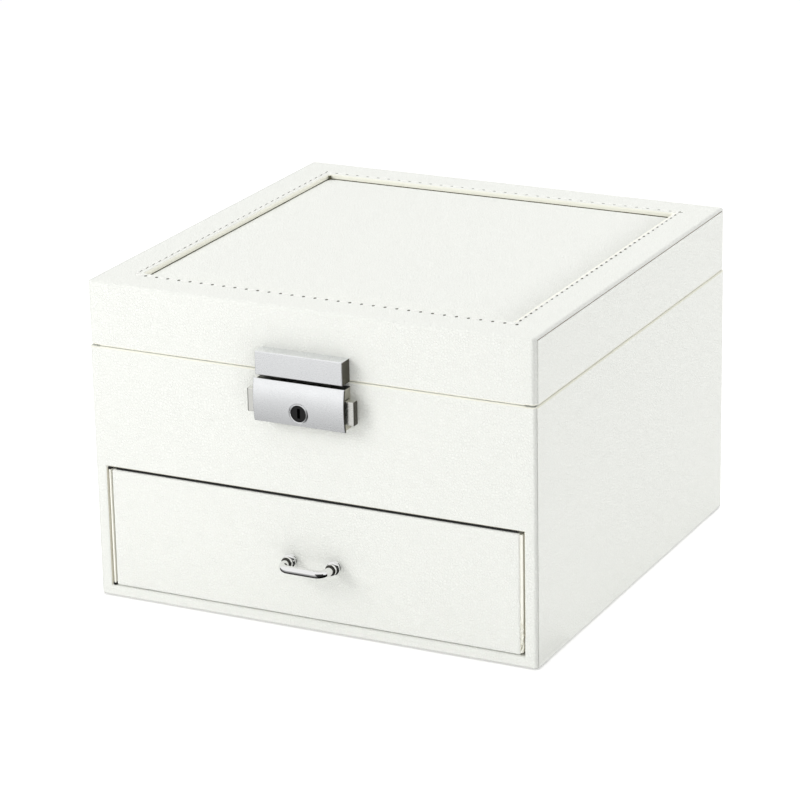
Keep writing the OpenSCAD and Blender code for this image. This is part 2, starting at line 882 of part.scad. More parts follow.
// A sheet down the lid's front: under the rail and up inside
module lid_end_sheet() {
    turned_x = inner_x - skin_t;
    span([-board_x, -half_d, lid_z], [board_x, -board_y, lid_top]);
    span([-board_x, -board_y, lid_z], [board_x, -inner_y, rail_z]);
    span([-turned_x, -inner_y, lid_z], [turned_x, -inner_y + skin_t, rail_z + turn_in]);
}

// One sheet over the border, down the front and back, and down into the window
module lid_wrap() {
    color(leather_top)
        intersection() {
            lid_outline();
            difference() {
                union() {
                    lid_end_sheet();
                    mirror([0, 1, 0]) lid_end_sheet();
                    span([-board_x, -board_y, lid_top - skin_t], [board_x, board_y, lid_top]);
                    window(skin_t, border_z, lid_top);
                }
                window(0, border_z - over, lid_top + over);
                for (side = [-1, 1])
                    rod_out(side * strike_screw_x, -board_y + over / 2, strike_screw_z, screw_r + bore_gap, skin_t + over);
                for (side = [-1, 1])
                    span([side * hinge_span / 2 - hinge_l / 2 - bore_gap, leaf_y0 - bore_gap, lid_z - over],
                        [side * hinge_span / 2 + hinge_l / 2 + bore_gap, half_d + over, pin_z + leaf_gap + leaf_t]);
                for (x = leaf_screw_xs)
                    rod_up(x, leaf_screw_y, lid_z - over, screw_r + bore_gap, skin_t + 2 * over);
            }
        }
}

module lid_side_skin() {
    color(leather)
        intersection() {
            lid_outline();
            union() {
                span([board_x, -half_d, lid_z], [half_w, half_d, lid_top]);
                span([inner_x, -inner_y, lid_z], [board_x, inner_y, rail_z]);
                span([inner_x - skin_t, -inner_y, lid_z], [inner_x, inner_y, rail_z + turn_in]);
            }
        }
}

module lid_right_skin() {
    lid_side_skin();
}

module lid_left_skin() {
    mirror([1, 0, 0]) lid_side_skin();
}

// The padded panel: its height over its edge at a point, crowned and rolled off to all four sides
pad_cells = 26;
pad_x = window_x - pad_gap;
pad_y = window_y - pad_gap;
pad_r = max(window_r - pad_gap, 0.2);
pad_edge_z = lid_top - pad_edge_drop;
// Share of the crown that is dome, over the flat of the foam
pad_dome = 0.14;
function roll_off(t) = t >= 1 ? 1 : 1 - pow(1 - t, 3);
function pad_rise(x, y) = pad_crown * roll_off((pad_x - abs(x)) / pad_roll) * roll_off((pad_y - abs(y)) / pad_roll)
    * (1 - pad_dome + pad_dome * (1 - pow(x / pad_x, 2)) * (1 - pow(y / pad_y, 2)));
// Grid lines lie closer together near the edges
function pad_line(i, half) = half * sin(90 * (2 * i / pad_cells - 1));
// Draws a point of the square grid in where it would stand out of a rounded corner
function to_corner(x, y) = let (dx = abs(x) - pad_x + pad_r, dy = abs(y) - pad_y + pad_r)
    dx <= 0 || dy <= 0 ? [x, y] :
        let (shrink = max(dx, dy) / norm([dx, dy]))
            [sign(x) * (pad_x - pad_r + dx * shrink), sign(y) * (pad_y - pad_r + dy * shrink)];
pad_row = pad_cells + 1;
pad_top = [for (j = [0:pad_cells], i = [0:pad_cells])
    let (x = pad_line(i, pad_x), y = pad_line(j, pad_y), p = to_corner(x, y)) [p[0], p[1], pad_edge_z + pad_rise(x, y)]];
// The panel's outline as places in the grid, anticlockwise from the front left corner
pad_rim = concat([for (i = [0:pad_cells - 1]) i],
    [for (j = [0:pad_cells - 1]) j * pad_row + pad_cells],
    [for (i = [pad_cells:-1:1]) pad_cells * pad_row + i],
    [for (j = [pad_cells:-1:1]) j * pad_row]);
pad_rim_n = len(pad_rim);
pad_points = concat(pad_top, [for (k = pad_rim) [pad_top[k][0], pad_top[k][1], border_z]]);
pad_base = pad_row * pad_row;
pad_faces = concat(
    [for (j = [0:pad_cells - 1], i = [0:pad_cells - 1], half = [0, 1]) let (a = j * pad_row + i)
        half == 0 ? [a, a + pad_row, a + 1] : [a + 1, a + pad_row, a + pad_row + 1]],
    [for (k = [0:pad_rim_n - 1], half = [0, 1]) let (n = (k + 1) % pad_rim_n)
        half == 0 ? [pad_base + k, pad_rim[k], pad_base + n] : [pad_base + n, pad_rim[k], pad_rim[n]]],
    [[for (k = [0:pad_rim_n - 1]) pad_base + k]]);

module lid_pad() {
    color(leather_top) polyhedron(pad_points, pad_faces);
}

module lid_lining() {
    color(velvet)
        difference() {
            span([-inner_x, -inner_y, rail_z + turn_in], [inner_x, inner_y, top_board_z]);
            span([-tray_x, -tray_y, rail_z], [tray_x, tray_y, ceiling_z]);
        }
}

module mirror_frame() {
    glass_lip = 1;
    color(nickel)
        difference() {
            span([-mirror_w / 2 - frame_w + glass_lip, -mirror_d / 2 - frame_w + glass_lip, ceiling_z - frame_t],
                [mirror_w / 2 + frame_w - glass_lip, mirror_d / 2 + frame_w - glass_lip, ceiling_z]);
            span([-mirror_w / 2, -mirror_d / 2, ceiling_z - mirror_t], [mirror_w / 2, mirror_d / 2, ceiling_z + over]);
            span([-mirror_w / 2 + glass_lip, -mirror_d / 2 + glass_lip, ceiling_z - frame_t - over],
                [mirror_w / 2 - glass_lip, mirror_d / 2 - glass_lip, ceiling_z]);
        }
}

module mirror_glass() {
    color([0.75, 0.8, 0.84])
        span([-mirror_w / 2, -mirror_d / 2, ceiling_z - mirror_t], [mirror_w / 2, mirror_d / 2, ceiling_z]);
}

// ---------- strike ----------

module strike_block() {
    edge_r = 0.25;
    top_edge_r = 0.35;
    color(nickel)
        difference() {
            soft_block([-strike_w / 2, -half_d - strike_out, lid_z], [strike_w / 2, -half_d, lid_z + strike_h],
                edge_r, top_edge_r, edge_r);
            // seat of the keeper
            lock_block(-keeper_x1 - bore_gap, keeper_x1 + bore_gap, keeper_in - bore_gap, keeper_out + bore_gap,
                lid_z - over, keeper_top);
            for (side = [-1, 1])
                rod_out(side * strike_screw_x, -half_d + over, strike_screw_z, screw_r + bore_gap, strike_screw_in + over);
        }
}

// A bent plate: its bridge sits in the strike block and its two notched legs reach into the lock
module keeper() {
    bridge_up = 0.3;
    color(nickel)
        difference() {
            union() {
                lock_block(-keeper_x1, keeper_x1, keeper_in, keeper_out, lid_z + bridge_up, keeper_top);
                both_sides() lock_block(keeper_x0, keeper_x1, keeper_in, keeper_out, keeper_z0, lid_z + over);
            }
            both_sides()
                lock_block(keeper_x0 - over, keeper_x0 + notch_deep, keeper_in - over, keeper_out + over, notch_z0, notch_z1);
        }
}

module strike_screws() {
    color(nickel)
        for (side = [-1, 1]) {
            rod_out(side * strike_screw_x, -inner_y, strike_screw_z, head_r, head_t);
            rod_out(side * strike_screw_x, -inner_y, strike_screw_z, screw_r, wall_t + skin_t + strike_screw_in - screw_end_gap);
        }
}

// ---------- drawer ----------

module drawer_front_board() {
    color(raw_board)
        difference() {
            span([-front_x + skin_t, front_board_y, drawer_z + skin_t],
                [front_x - skin_t, front_board_y + wall_t, front_top - skin_t]);
            for (x = handle_xs)
                rod_out(x, front_board_y + wall_t + over, handle_z, handle_screw_r + bore_gap, wall_t + 2 * over);
        }
}

// The front's sheet: round all four edges, and turned in behind
module drawer_skin() {
    inset = skin_t + turn_in;
    color(leather)
        difference() {
            soft_block([-front_x, front_y, drawer_z], [front_x, front_back_y, front_top], rim_r, rim_r, rim_r);
            span([-front_x + skin_t, front_board_y, drawer_z + skin_t],
                [front_x - skin_t, front_board_y + wall_t, front_top - skin_t]);
            span([-front_x + inset, front_board_y, drawer_z + inset],
                [front_x - inset, front_back_y + over, front_top - inset]);
            for (x = handle_xs)
                rod_out(x, front_board_y + over, handle_z, handle_screw_r + bore_gap, skin_t + 2 * over);
        }
}

module drawer_bottom() {
    color(leather) span([-drawer_x, front_back_y, drawer_z], [drawer_x, drawer_y, drawer_side_z]);
}

module drawer_side() {
    color(leather) span([drawer_x - drawer_t, front_back_y, drawer_side_z], [drawer_x, drawer_y, drawer_side_top]);
}

module drawer_right_side() {
    drawer_side();
}

module drawer_left_side() {
    mirror([1, 0, 0]) drawer_side();
}

module drawer_back() {
    color(leather)
        span([-drawer_x + drawer_t, drawer_y - drawer_t, drawer_side_z], [drawer_x - drawer_t, drawer_y, drawer_side_top]);
}

// The lining's front wall also covers the board between the turned-in edges
module drawer_lining() {
    head_room = 0.2;
    web = 0.2;
    color(velvet)
        difference() {
            union() {
                span([-drawer_x + drawer_t, front_back_y, drawer_side_z],
                    [drawer_x - drawer_t, drawer_y - drawer_t, drawer_side_top]);
                span([-front_x + skin_t + turn_in, front_board_y + wall_t, drawer_z + skin_t + turn_in],
                    [front_x - skin_t - turn_in, front_back_y, front_top - skin_t - turn_in]);
            }
            span([-hold_x, hold_y0, hold_z], [hold_x, hold_y1, drawer_side_top + over]);
            for (x = handle_xs)
                rod_out(x, hold_y0 - web, handle_z, handle_head_r + head_room, lining_t + skin_t);
        }
}

// Where the drawer's long divider stands
drawer_divider_x = -hold_x / 4;

module drawer_divider() {
    color(velvet)
        span([drawer_divider_x - divider_t / 2, hold_y0, hold_z],
            [drawer_divider_x + divider_t / 2, hold_y1, hold_z + drawer_divider_h]);
}

module drawer_cross_dividers() {
    color(velvet) {
        span([-hold_x, (hold_y0 + hold_y1 - divider_t) / 2, hold_z],
            [drawer_divider_x - divider_t / 2, (hold_y0 + hold_y1 + divider_t) / 2, hold_z + drawer_divider_h]);
        for (y = divider_lines(hold_y0, hold_y1, drawer_bays))
            span([drawer_divider_x + divider_t / 2, y - divider_t / 2, hold_z],
                [hold_x, y + divider_t / 2, hold_z + drawer_divider_h]);
    }
}

// ---------- handle ----------

// One leg with its bend, drawn at the right post and counted out from the drawer front
module handle_half() {
    leg_l = handle_reach - bend_r;
    bar_l = handle_span / 2 - bend_r;
    rod_out(0, 0, 0, rod_d / 2, leg_l);
    translate([-bend_r, -leg_l, 0])
        mirror([0, 1, 0])
            rotate_extrude(angle = 90, $fn = round_fn)
                translate([bend_r, 0]) circle(r = rod_d / 2, $fn = round_fn);
    translate([-bend_r - bar_l, -handle_reach, 0])
        rotate([0, 90, 0])
            cylinder(h = bar_l, r = rod_d / 2, $fn = round_fn);
}

module handle_bar() {
    color(chrome)
        difference() {
            translate([handle_shift, front_y, handle_z])
                both_sides() translate([handle_span / 2, 0, 0]) handle_half();
            for (x = handle_xs)
                rod_out(x, front_y + over, handle_z, handle_screw_r + bore_gap, handle_screw_deep + over);
        }
}

// Rings of one post as lengths along it and radii: a flange, then two beads that get smaller
collar_rings = [
    [0, 0.22, 0.88], [0.22, 0.34, 0.74], [0.34, 0.58, 1], [0.58, 0.68, 0.78], [0.68, 0.88, 0.86], [0.88, 1, 0.72]
];

module handle_collars() {
    bore = rod_d / 2 + bore_gap;
    color(chrome)
        for (x = handle_xs)
            translate([x, front_y, handle_z])
                rotate([90, 0, 0])
                    difference() {
                        union()
                            for (ring = collar_rings)
                                translate([0, 0, ring[0] * collar_l])
                                    cylinder(h = (ring[1] - ring[0]) * collar_l, r = ring[2] * collar_d / 2, $fn = round_fn);
                        translate([0, 0, -over]) cylinder(h = collar_l + 2 * over, r = bore, $fn = round_fn);
                    }
}

module handle_screws() {
    color(nickel)
        for (x = handle_xs) {
            rod_out(x, front_board_y + wall_t + head_t, handle_z, handle_head_r, head_t);
            rod_out(x, front_board_y + wall_t, handle_z, handle_screw_r, wall_t + skin_t + handle_screw_deep - handle_screw_gap);
        }
}

base_board();
left_board();
right_board();
back_board();
front_board();
shelf_board();
front_skin();
back_skin();
left_skin();
right_skin();
base_sheet();
bay_lining();
tray_lining();
tray_divider();
tray_cross_dividers();
ring_rolls();
case_hinge_leaves();
hinge_pins();
case_hinge_screws();
lock_case();
lock_cover();
lock_screws();
key_bezel();
left_slider();
right_slider();
left_spring();
right_spring();
key_plug();
lock_cam();
lid_front_rail();
lid_back_rail();
lid_left_rail();
lid_right_rail();
lid_top_board();
border_board();
lid_wrap();
lid_left_skin();
lid_right_skin();
lid_pad();
lid_lining();
mirror_frame();
mirror_glass();  // mirror
strike_block();
keeper();
strike_screws();
lid_hinge_leaves();
lid_hinge_screws();
drawer_front_board();
drawer_skin();
drawer_left_side();
drawer_right_side();
drawer_back();
drawer_bottom();
drawer_lining();
drawer_divider();
drawer_cross_dividers();
handle_bar();
handle_collars();
handle_screws();
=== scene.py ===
"""The looks of a ring box with a drawer in white leathercloth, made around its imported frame."""
import json
import logging
import math
from collections.abc import Callable, Iterable, Sequence
from dataclasses import dataclass, field
from enum import Enum

import bmesh
import bpy
from mathutils import Matrix, Quaternion, Vector, noise


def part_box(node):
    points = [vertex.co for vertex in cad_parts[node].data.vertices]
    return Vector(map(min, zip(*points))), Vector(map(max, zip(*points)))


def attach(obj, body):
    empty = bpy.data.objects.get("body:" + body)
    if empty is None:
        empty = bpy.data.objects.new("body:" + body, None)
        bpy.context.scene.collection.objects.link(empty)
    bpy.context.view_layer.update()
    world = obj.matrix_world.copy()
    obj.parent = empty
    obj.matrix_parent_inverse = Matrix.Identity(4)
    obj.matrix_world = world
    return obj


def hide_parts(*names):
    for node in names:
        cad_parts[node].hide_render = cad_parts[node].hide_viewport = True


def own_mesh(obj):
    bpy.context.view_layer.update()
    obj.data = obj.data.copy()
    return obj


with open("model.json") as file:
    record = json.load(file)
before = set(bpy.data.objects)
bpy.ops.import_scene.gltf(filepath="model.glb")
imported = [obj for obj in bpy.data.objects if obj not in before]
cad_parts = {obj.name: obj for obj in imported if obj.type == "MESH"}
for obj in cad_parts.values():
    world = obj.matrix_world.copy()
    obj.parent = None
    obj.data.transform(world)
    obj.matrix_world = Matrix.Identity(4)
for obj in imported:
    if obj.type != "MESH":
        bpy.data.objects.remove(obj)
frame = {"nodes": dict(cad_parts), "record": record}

log = logging.getLogger("ring_box")

MM = 0.001
X, Y, Z = 0, 1, 2
FLAT = 0.9  # a face looks along an axis if more than this share of its normal does
SQUARE = 0.95  # the same, for faces that mustn't take in a rounding
HALF_TURN = math.pi
Colour = tuple[float, float, float]
Point = Sequence[float]
EdgeTest = Callable[[bmesh.types.BMEdge], bool]
FaceTest = Callable[[Vector, Vector], bool]


class Body(Enum):
    """The moving bodies of the frame."""

    CASE = "case"
    LID = "lid"
    DRAWER = "drawer"
    KEY = "key"


class Slot(Enum):
    """The record's material slots."""

    LEATHERCLOTH = "white_leathercloth"
    BOARD = "board"
    COVERED_BOARD = "covered_board"
    BASE_CLOTH = "base_cloth"
    VELVET = "velvet"
    SATIN_NICKEL = "satin_nickel"
    LOCK_STEEL = "lock_steel"
    CHROME = "chrome"
    MIRROR_RIM = "mirror_rim"
    MIRROR_GLASS = "mirror_glass"


# ---- shader maths


class Wire:
    """An output socket that takes part in Python sums; each sum adds its Math node."""

    def __init__(self, tree: bpy.types.NodeTree, socket: bpy.types.NodeSocket) -> None:
        """Keeps the socket and the tree that it belongs to."""
        self.tree = tree
        self.socket = socket

    def _math(self, operation: str, *values: "Wire | float", clamp: bool = False) -> "Wire":
        """Adds one Math node.

        Args:
            operation: The Math node's operation.
            *values: Its two values.
            clamp: Whether the result is kept between 0 and 1.

        Returns:
            The node's result.
        """
        node = self.tree.nodes.new("ShaderNodeMath")
        node.operation = operation
        node.use_clamp = clamp
        for socket, value in zip(node.inputs, values):
            if isinstance(value, Wire):
                self.tree.links.new(value.socket, socket)
            else:
                socket.default_value = value
        return Wire(self.tree, node.outputs[0])

    def __add__(self, other: "Wire | float") -> "Wire":
        """self + other."""
        return self._math("ADD", self, other)

    __radd__ = __add__

    def __sub__(self, other: "Wire | float") -> "Wire":
        """self - other."""
        return self._math("SUBTRACT", self, other)

    def __rsub__(self, other: float) -> "Wire":
        """other - self."""
        return self._math("SUBTRACT", other, self)

    def __mul__(self, other: "Wire | float") -> "Wire":
        """self * other."""
        return self._math("MULTIPLY", self, other)

    __rmul__ = __mul__

    def __truediv__(self, other: "Wire | float") -> "Wire":
        """self / other."""
        return self._math("DIVIDE", self, other)

    def __pow__(self, other: float) -> "Wire":
        """self ** other."""
        return self._math("POWER", self, other)

    def clamped(self) -> "Wire":
        """The value kept between 0 and 1."""
        return self._math("ADD", self, 0.0, clamp=True)

    def most(self, other: "Wire | float") -> "Wire":
        """The greater of two values."""
        return self._math("MAXIMUM", self, other)

    def size(self) -> "Wire":
        """The value without its sign."""
        return self.most(0.0 - self)


class Recipe:
    """The nodes of one material or of the world."""

    def __init__(self, tree: bpy.types.NodeTree) -> None:
        """Empties the tree."""
        self.tree = tree
        tree.nodes.clear()

    def node(self, kind: str, settings: dict | None = None, inputs: dict | None = None) -> bpy.types.Node:
        """Adds a node of any kind.

        Args:
            kind: The node's type.
            settings: Its properties, set before its sockets.
            inputs: Values or wires for its sockets, by name or number.

        Returns:
            The node.
        """
        made = self.tree.nodes.new(kind)
        for name, value in (settings or {}).items():
            setattr(made, name, value)
        for name, value in (inputs or {}).items():
            if isinstance(value, Wire):
                self.tree.links.new(value.socket, made.inputs[name])
            else:
                made.inputs[name].default_value = value
        return made

    def out(self, node: bpy.types.Node, name: str | int = 0) -> Wire:
        """One output of a node as a wire."""
        return Wire(self.tree, node.outputs[name])

    def spot(self) -> Wire:
        """The point on the piece, in metres."""
        return self.out(self.node("ShaderNodeTexCoord"), "Object")

    def place(self, stretch: Point = (1, 1, 1)) -> Wire:
        """The point on the piece in millimetres, times a stretch that makes a pattern finer."""
        scale = [s / MM for s in stretch]
        return self.out(self.node("ShaderNodeMapping", inputs={"Vector": self.spot(), "Scale": scale}))

    def split(self, vector: Wire) -> list[Wire]:
        """The three parts of a vector."""
        made = self.node("ShaderNodeSeparateXYZ", inputs={0: vector})
        return [self.out(made, axis) for axis in (X, Y, Z)]

    def speckle(self, at: Wire, per_mm: float, detail: float = 2.0, name: str | int = 0) -> Wire:
        """Soft noise between 0 and 1."""
        inputs = {"Vector": at, "Scale": per_mm, "Detail": detail}
        return self.out(self.node("ShaderNodeTexNoise", inputs=inputs), name)

    def blend(self, share: "Wire | float", first: "Wire | Point", second: "Wire | Point") -> Wire:
        """A colour between two others, with the given share of the second."""
        colours = [c if isinstance(c, Wire) else (*c, 1.0) for c in (first, second)]
        inputs = {0: share, 6: colours[0], 7: colours[1]}
        return self.out(self.node("ShaderNodeMix", {"data_type": "RGBA"}, inputs), 2)

    def bump(self, height: Wire, depth_mm: float) -> Wire:
        """A normal raised by a height map."""
        return self.out(self.node("ShaderNodeBump", inputs={"Height": height, "Distance": depth_mm * MM}))

    def surface(self, **sockets: "Wire | float | Point") -> None:
        """Ends the material in one Principled shader; its sockets' names take underscores for spaces."""
        named = {name.replace("_", " "): value for name, value in sockets.items()}
        self.end(self.out(self.node("ShaderNodeBsdfPrincipled", inputs=named)))

    def glow(self, strength: "Wire | float") -> Wire:
        """Light given off."""
        return self.out(self.node("ShaderNodeEmission", inputs={"Strength": strength}))

    def end(self, shader: Wire) -> None:
        """Ends the material in a shader."""
        self.node("ShaderNodeOutputMaterial", inputs={"Surface": shader})


def darker(tone: Colour, share: float) -> list[float]:
    """A share of a colour."""
    return [c * share for c in tone]


def blank_material(name: str) -> tuple[bpy.types.Material, Recipe]:
    """A new material and its empty recipe."""
    made = bpy.data.materials.new(name)
    made.use_nodes = True
    return made, Recipe(made.node_tree)


# ---- finishes


@dataclass(frozen=True)
class Finish:
    """A surface that is made once and shared by its pieces; sizes are in millimetres."""

    name: str

    def material(self) -> bpy.types.Material:
        """The finish's material, made on first use."""
        known = bpy.data.materials.get(self.name)
        if known is None:
            known, recipe = blank_material(self.name)
            self.paint(recipe)
        return known

    def paint(self, recipe: Recipe) -> None:
        """Adds the finish's nodes; each finish has its own."""
        raise NotImplementedError


@dataclass(frozen=True)
class LeatherCloth(Finish):
    """Coated cloth with a fine pebble grain, with painted shade over a band across X, such as where it rounds
    an upright corner, and a painted contact shadow along the box's foot.
    """

    tone: Colour
    valley: Colour
    pebble: float = 1.0
    depth: float = 0.17
    roughness: float = 0.46
    # fold, fold_from, fold_to, fold_curve and right_only: painted shade over a band across X, from fold_from
    # to fold_to off the middle, or on the right only
    fold: float = 0.0
    fold_from: float = 86.1
    fold_to: float = 87.1
    fold_curve: float = 1.0
    right_only: bool = False
    # foot, foot_z and foot_fade: painted contact shadow along the box's foot; shade_share: how dark the
    # painted shade gets
    foot: float = 0.45
    foot_z: float = 1.4
    foot_fade: float = 0.5
    shade_share: float = 0.5

    def paint(self, recipe: Recipe) -> None:
        """Rounded pebbles, a slow drift in tone, painted shade over the fold band, and a painted contact
        shadow along the box's foot.
        """
        at = recipe.place()
        drift = recipe.speckle(at, 0.35)
        bent = recipe.out(recipe.node("ShaderNodeVectorMath", {"operation": "MULTIPLY_ADD"}, {
            0: recipe.speckle(at, 0.9, name="Color"), 1: (0.7, 0.7, 0.7), 2: at}))
        cells = recipe.node("ShaderNodeTexVoronoi", {"feature": "DISTANCE_TO_EDGE"},
                            {"Vector": bent, "Scale": 1 / self.pebble})
        pebbles = (recipe.out(cells) * 3.2).clamped() ** 0.6
        height = pebbles * 0.75 + recipe.speckle(at, 5.0, 3) * 0.25
        cloud = recipe.speckle(at, 0.02, 3)
        tone = recipe.blend((1.0 - pebbles) * 0.5 + (drift - 0.5) * 0.3, self.tone, self.valley)
        x, _, z = recipe.split(at)
        # painted contact shadow below foot_z
        low = ((self.foot_z - z) / self.foot_fade).clamped() * self.foot
        tone = recipe.blend(low, tone, darker(self.tone, self.shade_share))
        # painted shade over the fold band
        if self.fold:
            out = x if self.right_only else x.size()
            near = ((out - self.fold_from) / (self.fold_to - self.fold_from)).clamped() ** self.fold_curve
            tone = recipe.blend(near * self.fold, tone, darker(self.tone, self.shade_share))
        recipe.surface(Base_Color=recipe.blend((cloud - 0.35) * 0.5, tone, darker(self.tone, 0.975)),
                       Roughness=(1.0 - pebbles) * 0.12 + self.roughness + (cloud - 0.5) * 0.06,
                       Normal=recipe.bump(height, self.depth))


@dataclass(frozen=True)
class Velvet(Finish):
    """Short pile that catches the light at its edges."""

    tone: Colour
    shade: Colour
    depth: float = 0.12

    def paint(self, recipe: Recipe) -> None:
        """Fine fibres over patches where the pile leans another way."""
        at = recipe.place()
        fibres = recipe.speckle(at, 3.2, 4)
        patches = recipe.speckle(at, 0.07, 3)
        share = (fibres - 0.35) * 0.9 + (patches - 0.5) * 0.8
        recipe.surface(Base_Color=recipe.blend(share.clamped(), self.tone, self.shade), Roughness=0.92,
                       Sheen_Weight=0.35, Sheen_Roughness=0.4, Specular_IOR_Level=0.2,
                       Normal=recipe.bump(fibres + patches * 0.3, self.depth))


@dataclass(frozen=True)
class Fibreboard(Finish):
    """Raw pressed board."""

    tone: Colour
    fleck: Colour

    def paint(self, recipe: Recipe) -> None:
        """Short fibres that lie every way, with darker flecks."""
        fibres = recipe.speckle(recipe.place((1, 4, 4)), 0.8, 5)
        flecks = ((recipe.speckle(recipe.place(), 1.6, 3) - 0.58) * 6.0).clamped()
        share = (fibres - 0.4) * 0.8 + flecks * 0.5
        recipe.surface(Base_Color=recipe.blend(share.clamped(), self.tone, self.fleck),
                       Roughness=0.82 + (fibres - 0.5) * 0.1, Normal=recipe.bump(fibres, 0.08))


@dataclass(frozen=True)
class Paper(Finish):
    """Smooth covering paper or card, with a faint laid grain."""

    tone: Colour
    shade: Colour
    roughness: float = 0.6

    def paint(self, recipe: Recipe) -> None:
        """Fine fibres and slow clouds."""
        fine = recipe.speckle(recipe.place((1, 1, 2.5)), 1.4, 4)
        cloud = recipe.speckle(recipe.place(), 0.05)
        share = (fine - 0.4) * 0.5 + (cloud - 0.45) * 0.5
        recipe.surface(Base_Color=recipe.blend(share.clamped(), self.tone, self.shade),
                       Roughness=self.roughness + (fine - 0.5) * 0.12, Normal=recipe.bump(fine, 0.03))


@dataclass(frozen=True)
class Plated(Finish):
    """Plated metal with a brushed or a polished face."""

    tone: Colour
    roughness: float
    brush: Point = (0.3, 6.0, 6.0)
    depth: float = 0.002
    change: float = 0.08

    def tone_at(self, recipe: Recipe, share: Wire) -> Wire:
        """The metal's colour, a little darker where the share is high."""
        return recipe.blend(share, self.tone, darker(self.tone, 1 - self.change))

    def paint(self, recipe: Recipe) -> None:
        """Hair-fine brush marks and a faint cloud of handling."""
        marks = recipe.speckle(recipe.place(self.brush), 1.6, 4)
        cloud = recipe.speckle(recipe.place(), 0.12, 3)
        share = ((marks - 0.5) * 0.6 + (cloud - 0.5) * 0.7 + 0.4).clamped()
        roughness = self.roughness + (marks - 0.5) * self.change + (cloud - 0.5) * self.change
        recipe.surface(Base_Color=self.tone_at(recipe, share), Metallic=1.0, Roughness=roughness,
                       Normal=recipe.bump(marks, self.depth))


@dataclass(frozen=True)
class PartPlated(Plated):
    """Metal that is bright between two places along an axis, measured from the middle, and dark past them."""

    dark: Colour = (0.1, 0.1, 0.1)
    axis: int = X
    bright_from: float = -1.0
    bright_to: float = 1000.0
    fade: float = 0.2

    def tone_at(self, recipe: Recipe, share: Wire) -> Wire:
        """The plating's colour on the bright part, and the dark colour on the rest: on the sliders the plain
        steel's colour, on the lock case a painted shade over its top.
        """
        off = recipe.split(recipe.place())[self.axis].size()
        bright = (off - self.bright_from).clamped() * (1.0 - ((off - self.bright_to) / self.fade).clamped())
        return recipe.blend(bright, self.dark, super().tone_at(recipe, share))


# every leathercloth carries the painted contact shadow at the box's foot
LEATHER = LeatherCloth("pebbled_leathercloth", (0.873, 0.884, 0.842), (0.81, 0.82, 0.77))
# painted shade on the rounded upright corners of the case's wrapped ends and of the lid
LEATHER_WRAPPED = LeatherCloth("pebbled_leathercloth_wrapped", LEATHER.tone, LEATHER.valley, fold=0.36)
LEATHER_LID_CORNER_SHADE = LeatherCloth("pebbled_leathercloth_lid_corner_shade", LEATHER.tone, LEATHER.valley, fold=0.3,
                              fold_from=85.5, fold_to=86.6)
# painted shade over the pad's right roll-off, which faces away from the lamps
LEATHER_PAD = LeatherCloth("pebbled_leathercloth_pad", LEATHER.tone, LEATHER.valley, fold=0.22,
                           fold_from=58.0, fold_to=72.0, fold_curve=2.0, right_only=True)
LEATHER_EDGE_PAINTED_LIGHT, LEATHER_TURNED, LEATHER_SEAM_SHADE, OPENING_SHADE, SEAM_SHADE = (
    LeatherCloth("leathercloth_" + name, tone, valley, depth=0.02) for name, tone, valley in (
        # cream of the turned cloth, made brighter as painted light in narrow gaps and as a painted highlight
        ("turned_edge_painted_light", (0.95, 0.945, 0.87), (0.91, 0.90, 0.80)),
        ("turned_wall", (0.88, 0.875, 0.78), (0.84, 0.83, 0.72)),
        # painted shade along the shut seam, on the side sheets' rims
        ("side_seam_painted_shade", (0.78, 0.775, 0.67), (0.72, 0.71, 0.60)),
        # painted shade on the drawer opening's turned-in walls
        ("opening_painted_shade", (0.60, 0.58, 0.48), (0.50, 0.48, 0.38)),
        # painted shade in creases and gaps: the window's crease, the pad's sides and the recess corner
        ("crease_painted_shade", (0.10, 0.095, 0.05), (0.06, 0.055, 0.03))))
VELVET = Velvet("cream_velvet", (0.80, 0.755, 0.68), (0.66, 0.60, 0.52))
BASE_CLOTH = Velvet("base_flock", (0.74, 0.72, 0.67), (0.6, 0.58, 0.53), depth=0.06)
# painted shade for the drawer's gaps
GAP_SHADE = Velvet("gap_painted_shade", (0.016, 0.016, 0.015), (0.01, 0.01, 0.01), depth=0.05)
BOARD = Fibreboard("fibreboard", (0.50, 0.37, 0.25), (0.30, 0.20, 0.12))
COVER_PAPER = Paper("cream_covering_paper", (0.86, 0.84, 0.77), (0.80, 0.77, 0.69))
# painted shade for the drawer bay's ceiling
BAY_CEILING_SHADE = Paper("bay_ceiling_painted_shade", (0.05, 0.048, 0.045), (0.03, 0.03, 0.028))
MIRROR_RIM = LeatherCloth("mirror_rim_cloth", (0.85, 0.85, 0.81), (0.77, 0.77, 0.72), pebble=0.8)
THREAD = Paper("sewing_thread", (0.90, 0.90, 0.87), (0.80, 0.80, 0.76))
# painted shade of the needle holes
NEEDLE_HOLE_SHADE = Paper("needle_hole", (0.13, 0.13, 0.11), (0.08, 0.08, 0.07), 0.9)
NICKEL = Plated("satin_nickel_plate", (0.88, 0.89, 0.90), 0.27)
# painted dark reflection and shade on sides and undersides; its higher roughness is the cast metal's own
NICKEL_SIDE_SHADE = Plated("nickel_side_painted_dark", (0.12, 0.115, 0.09), 0.40, (2.0, 2.0, 2.0), 0.006)
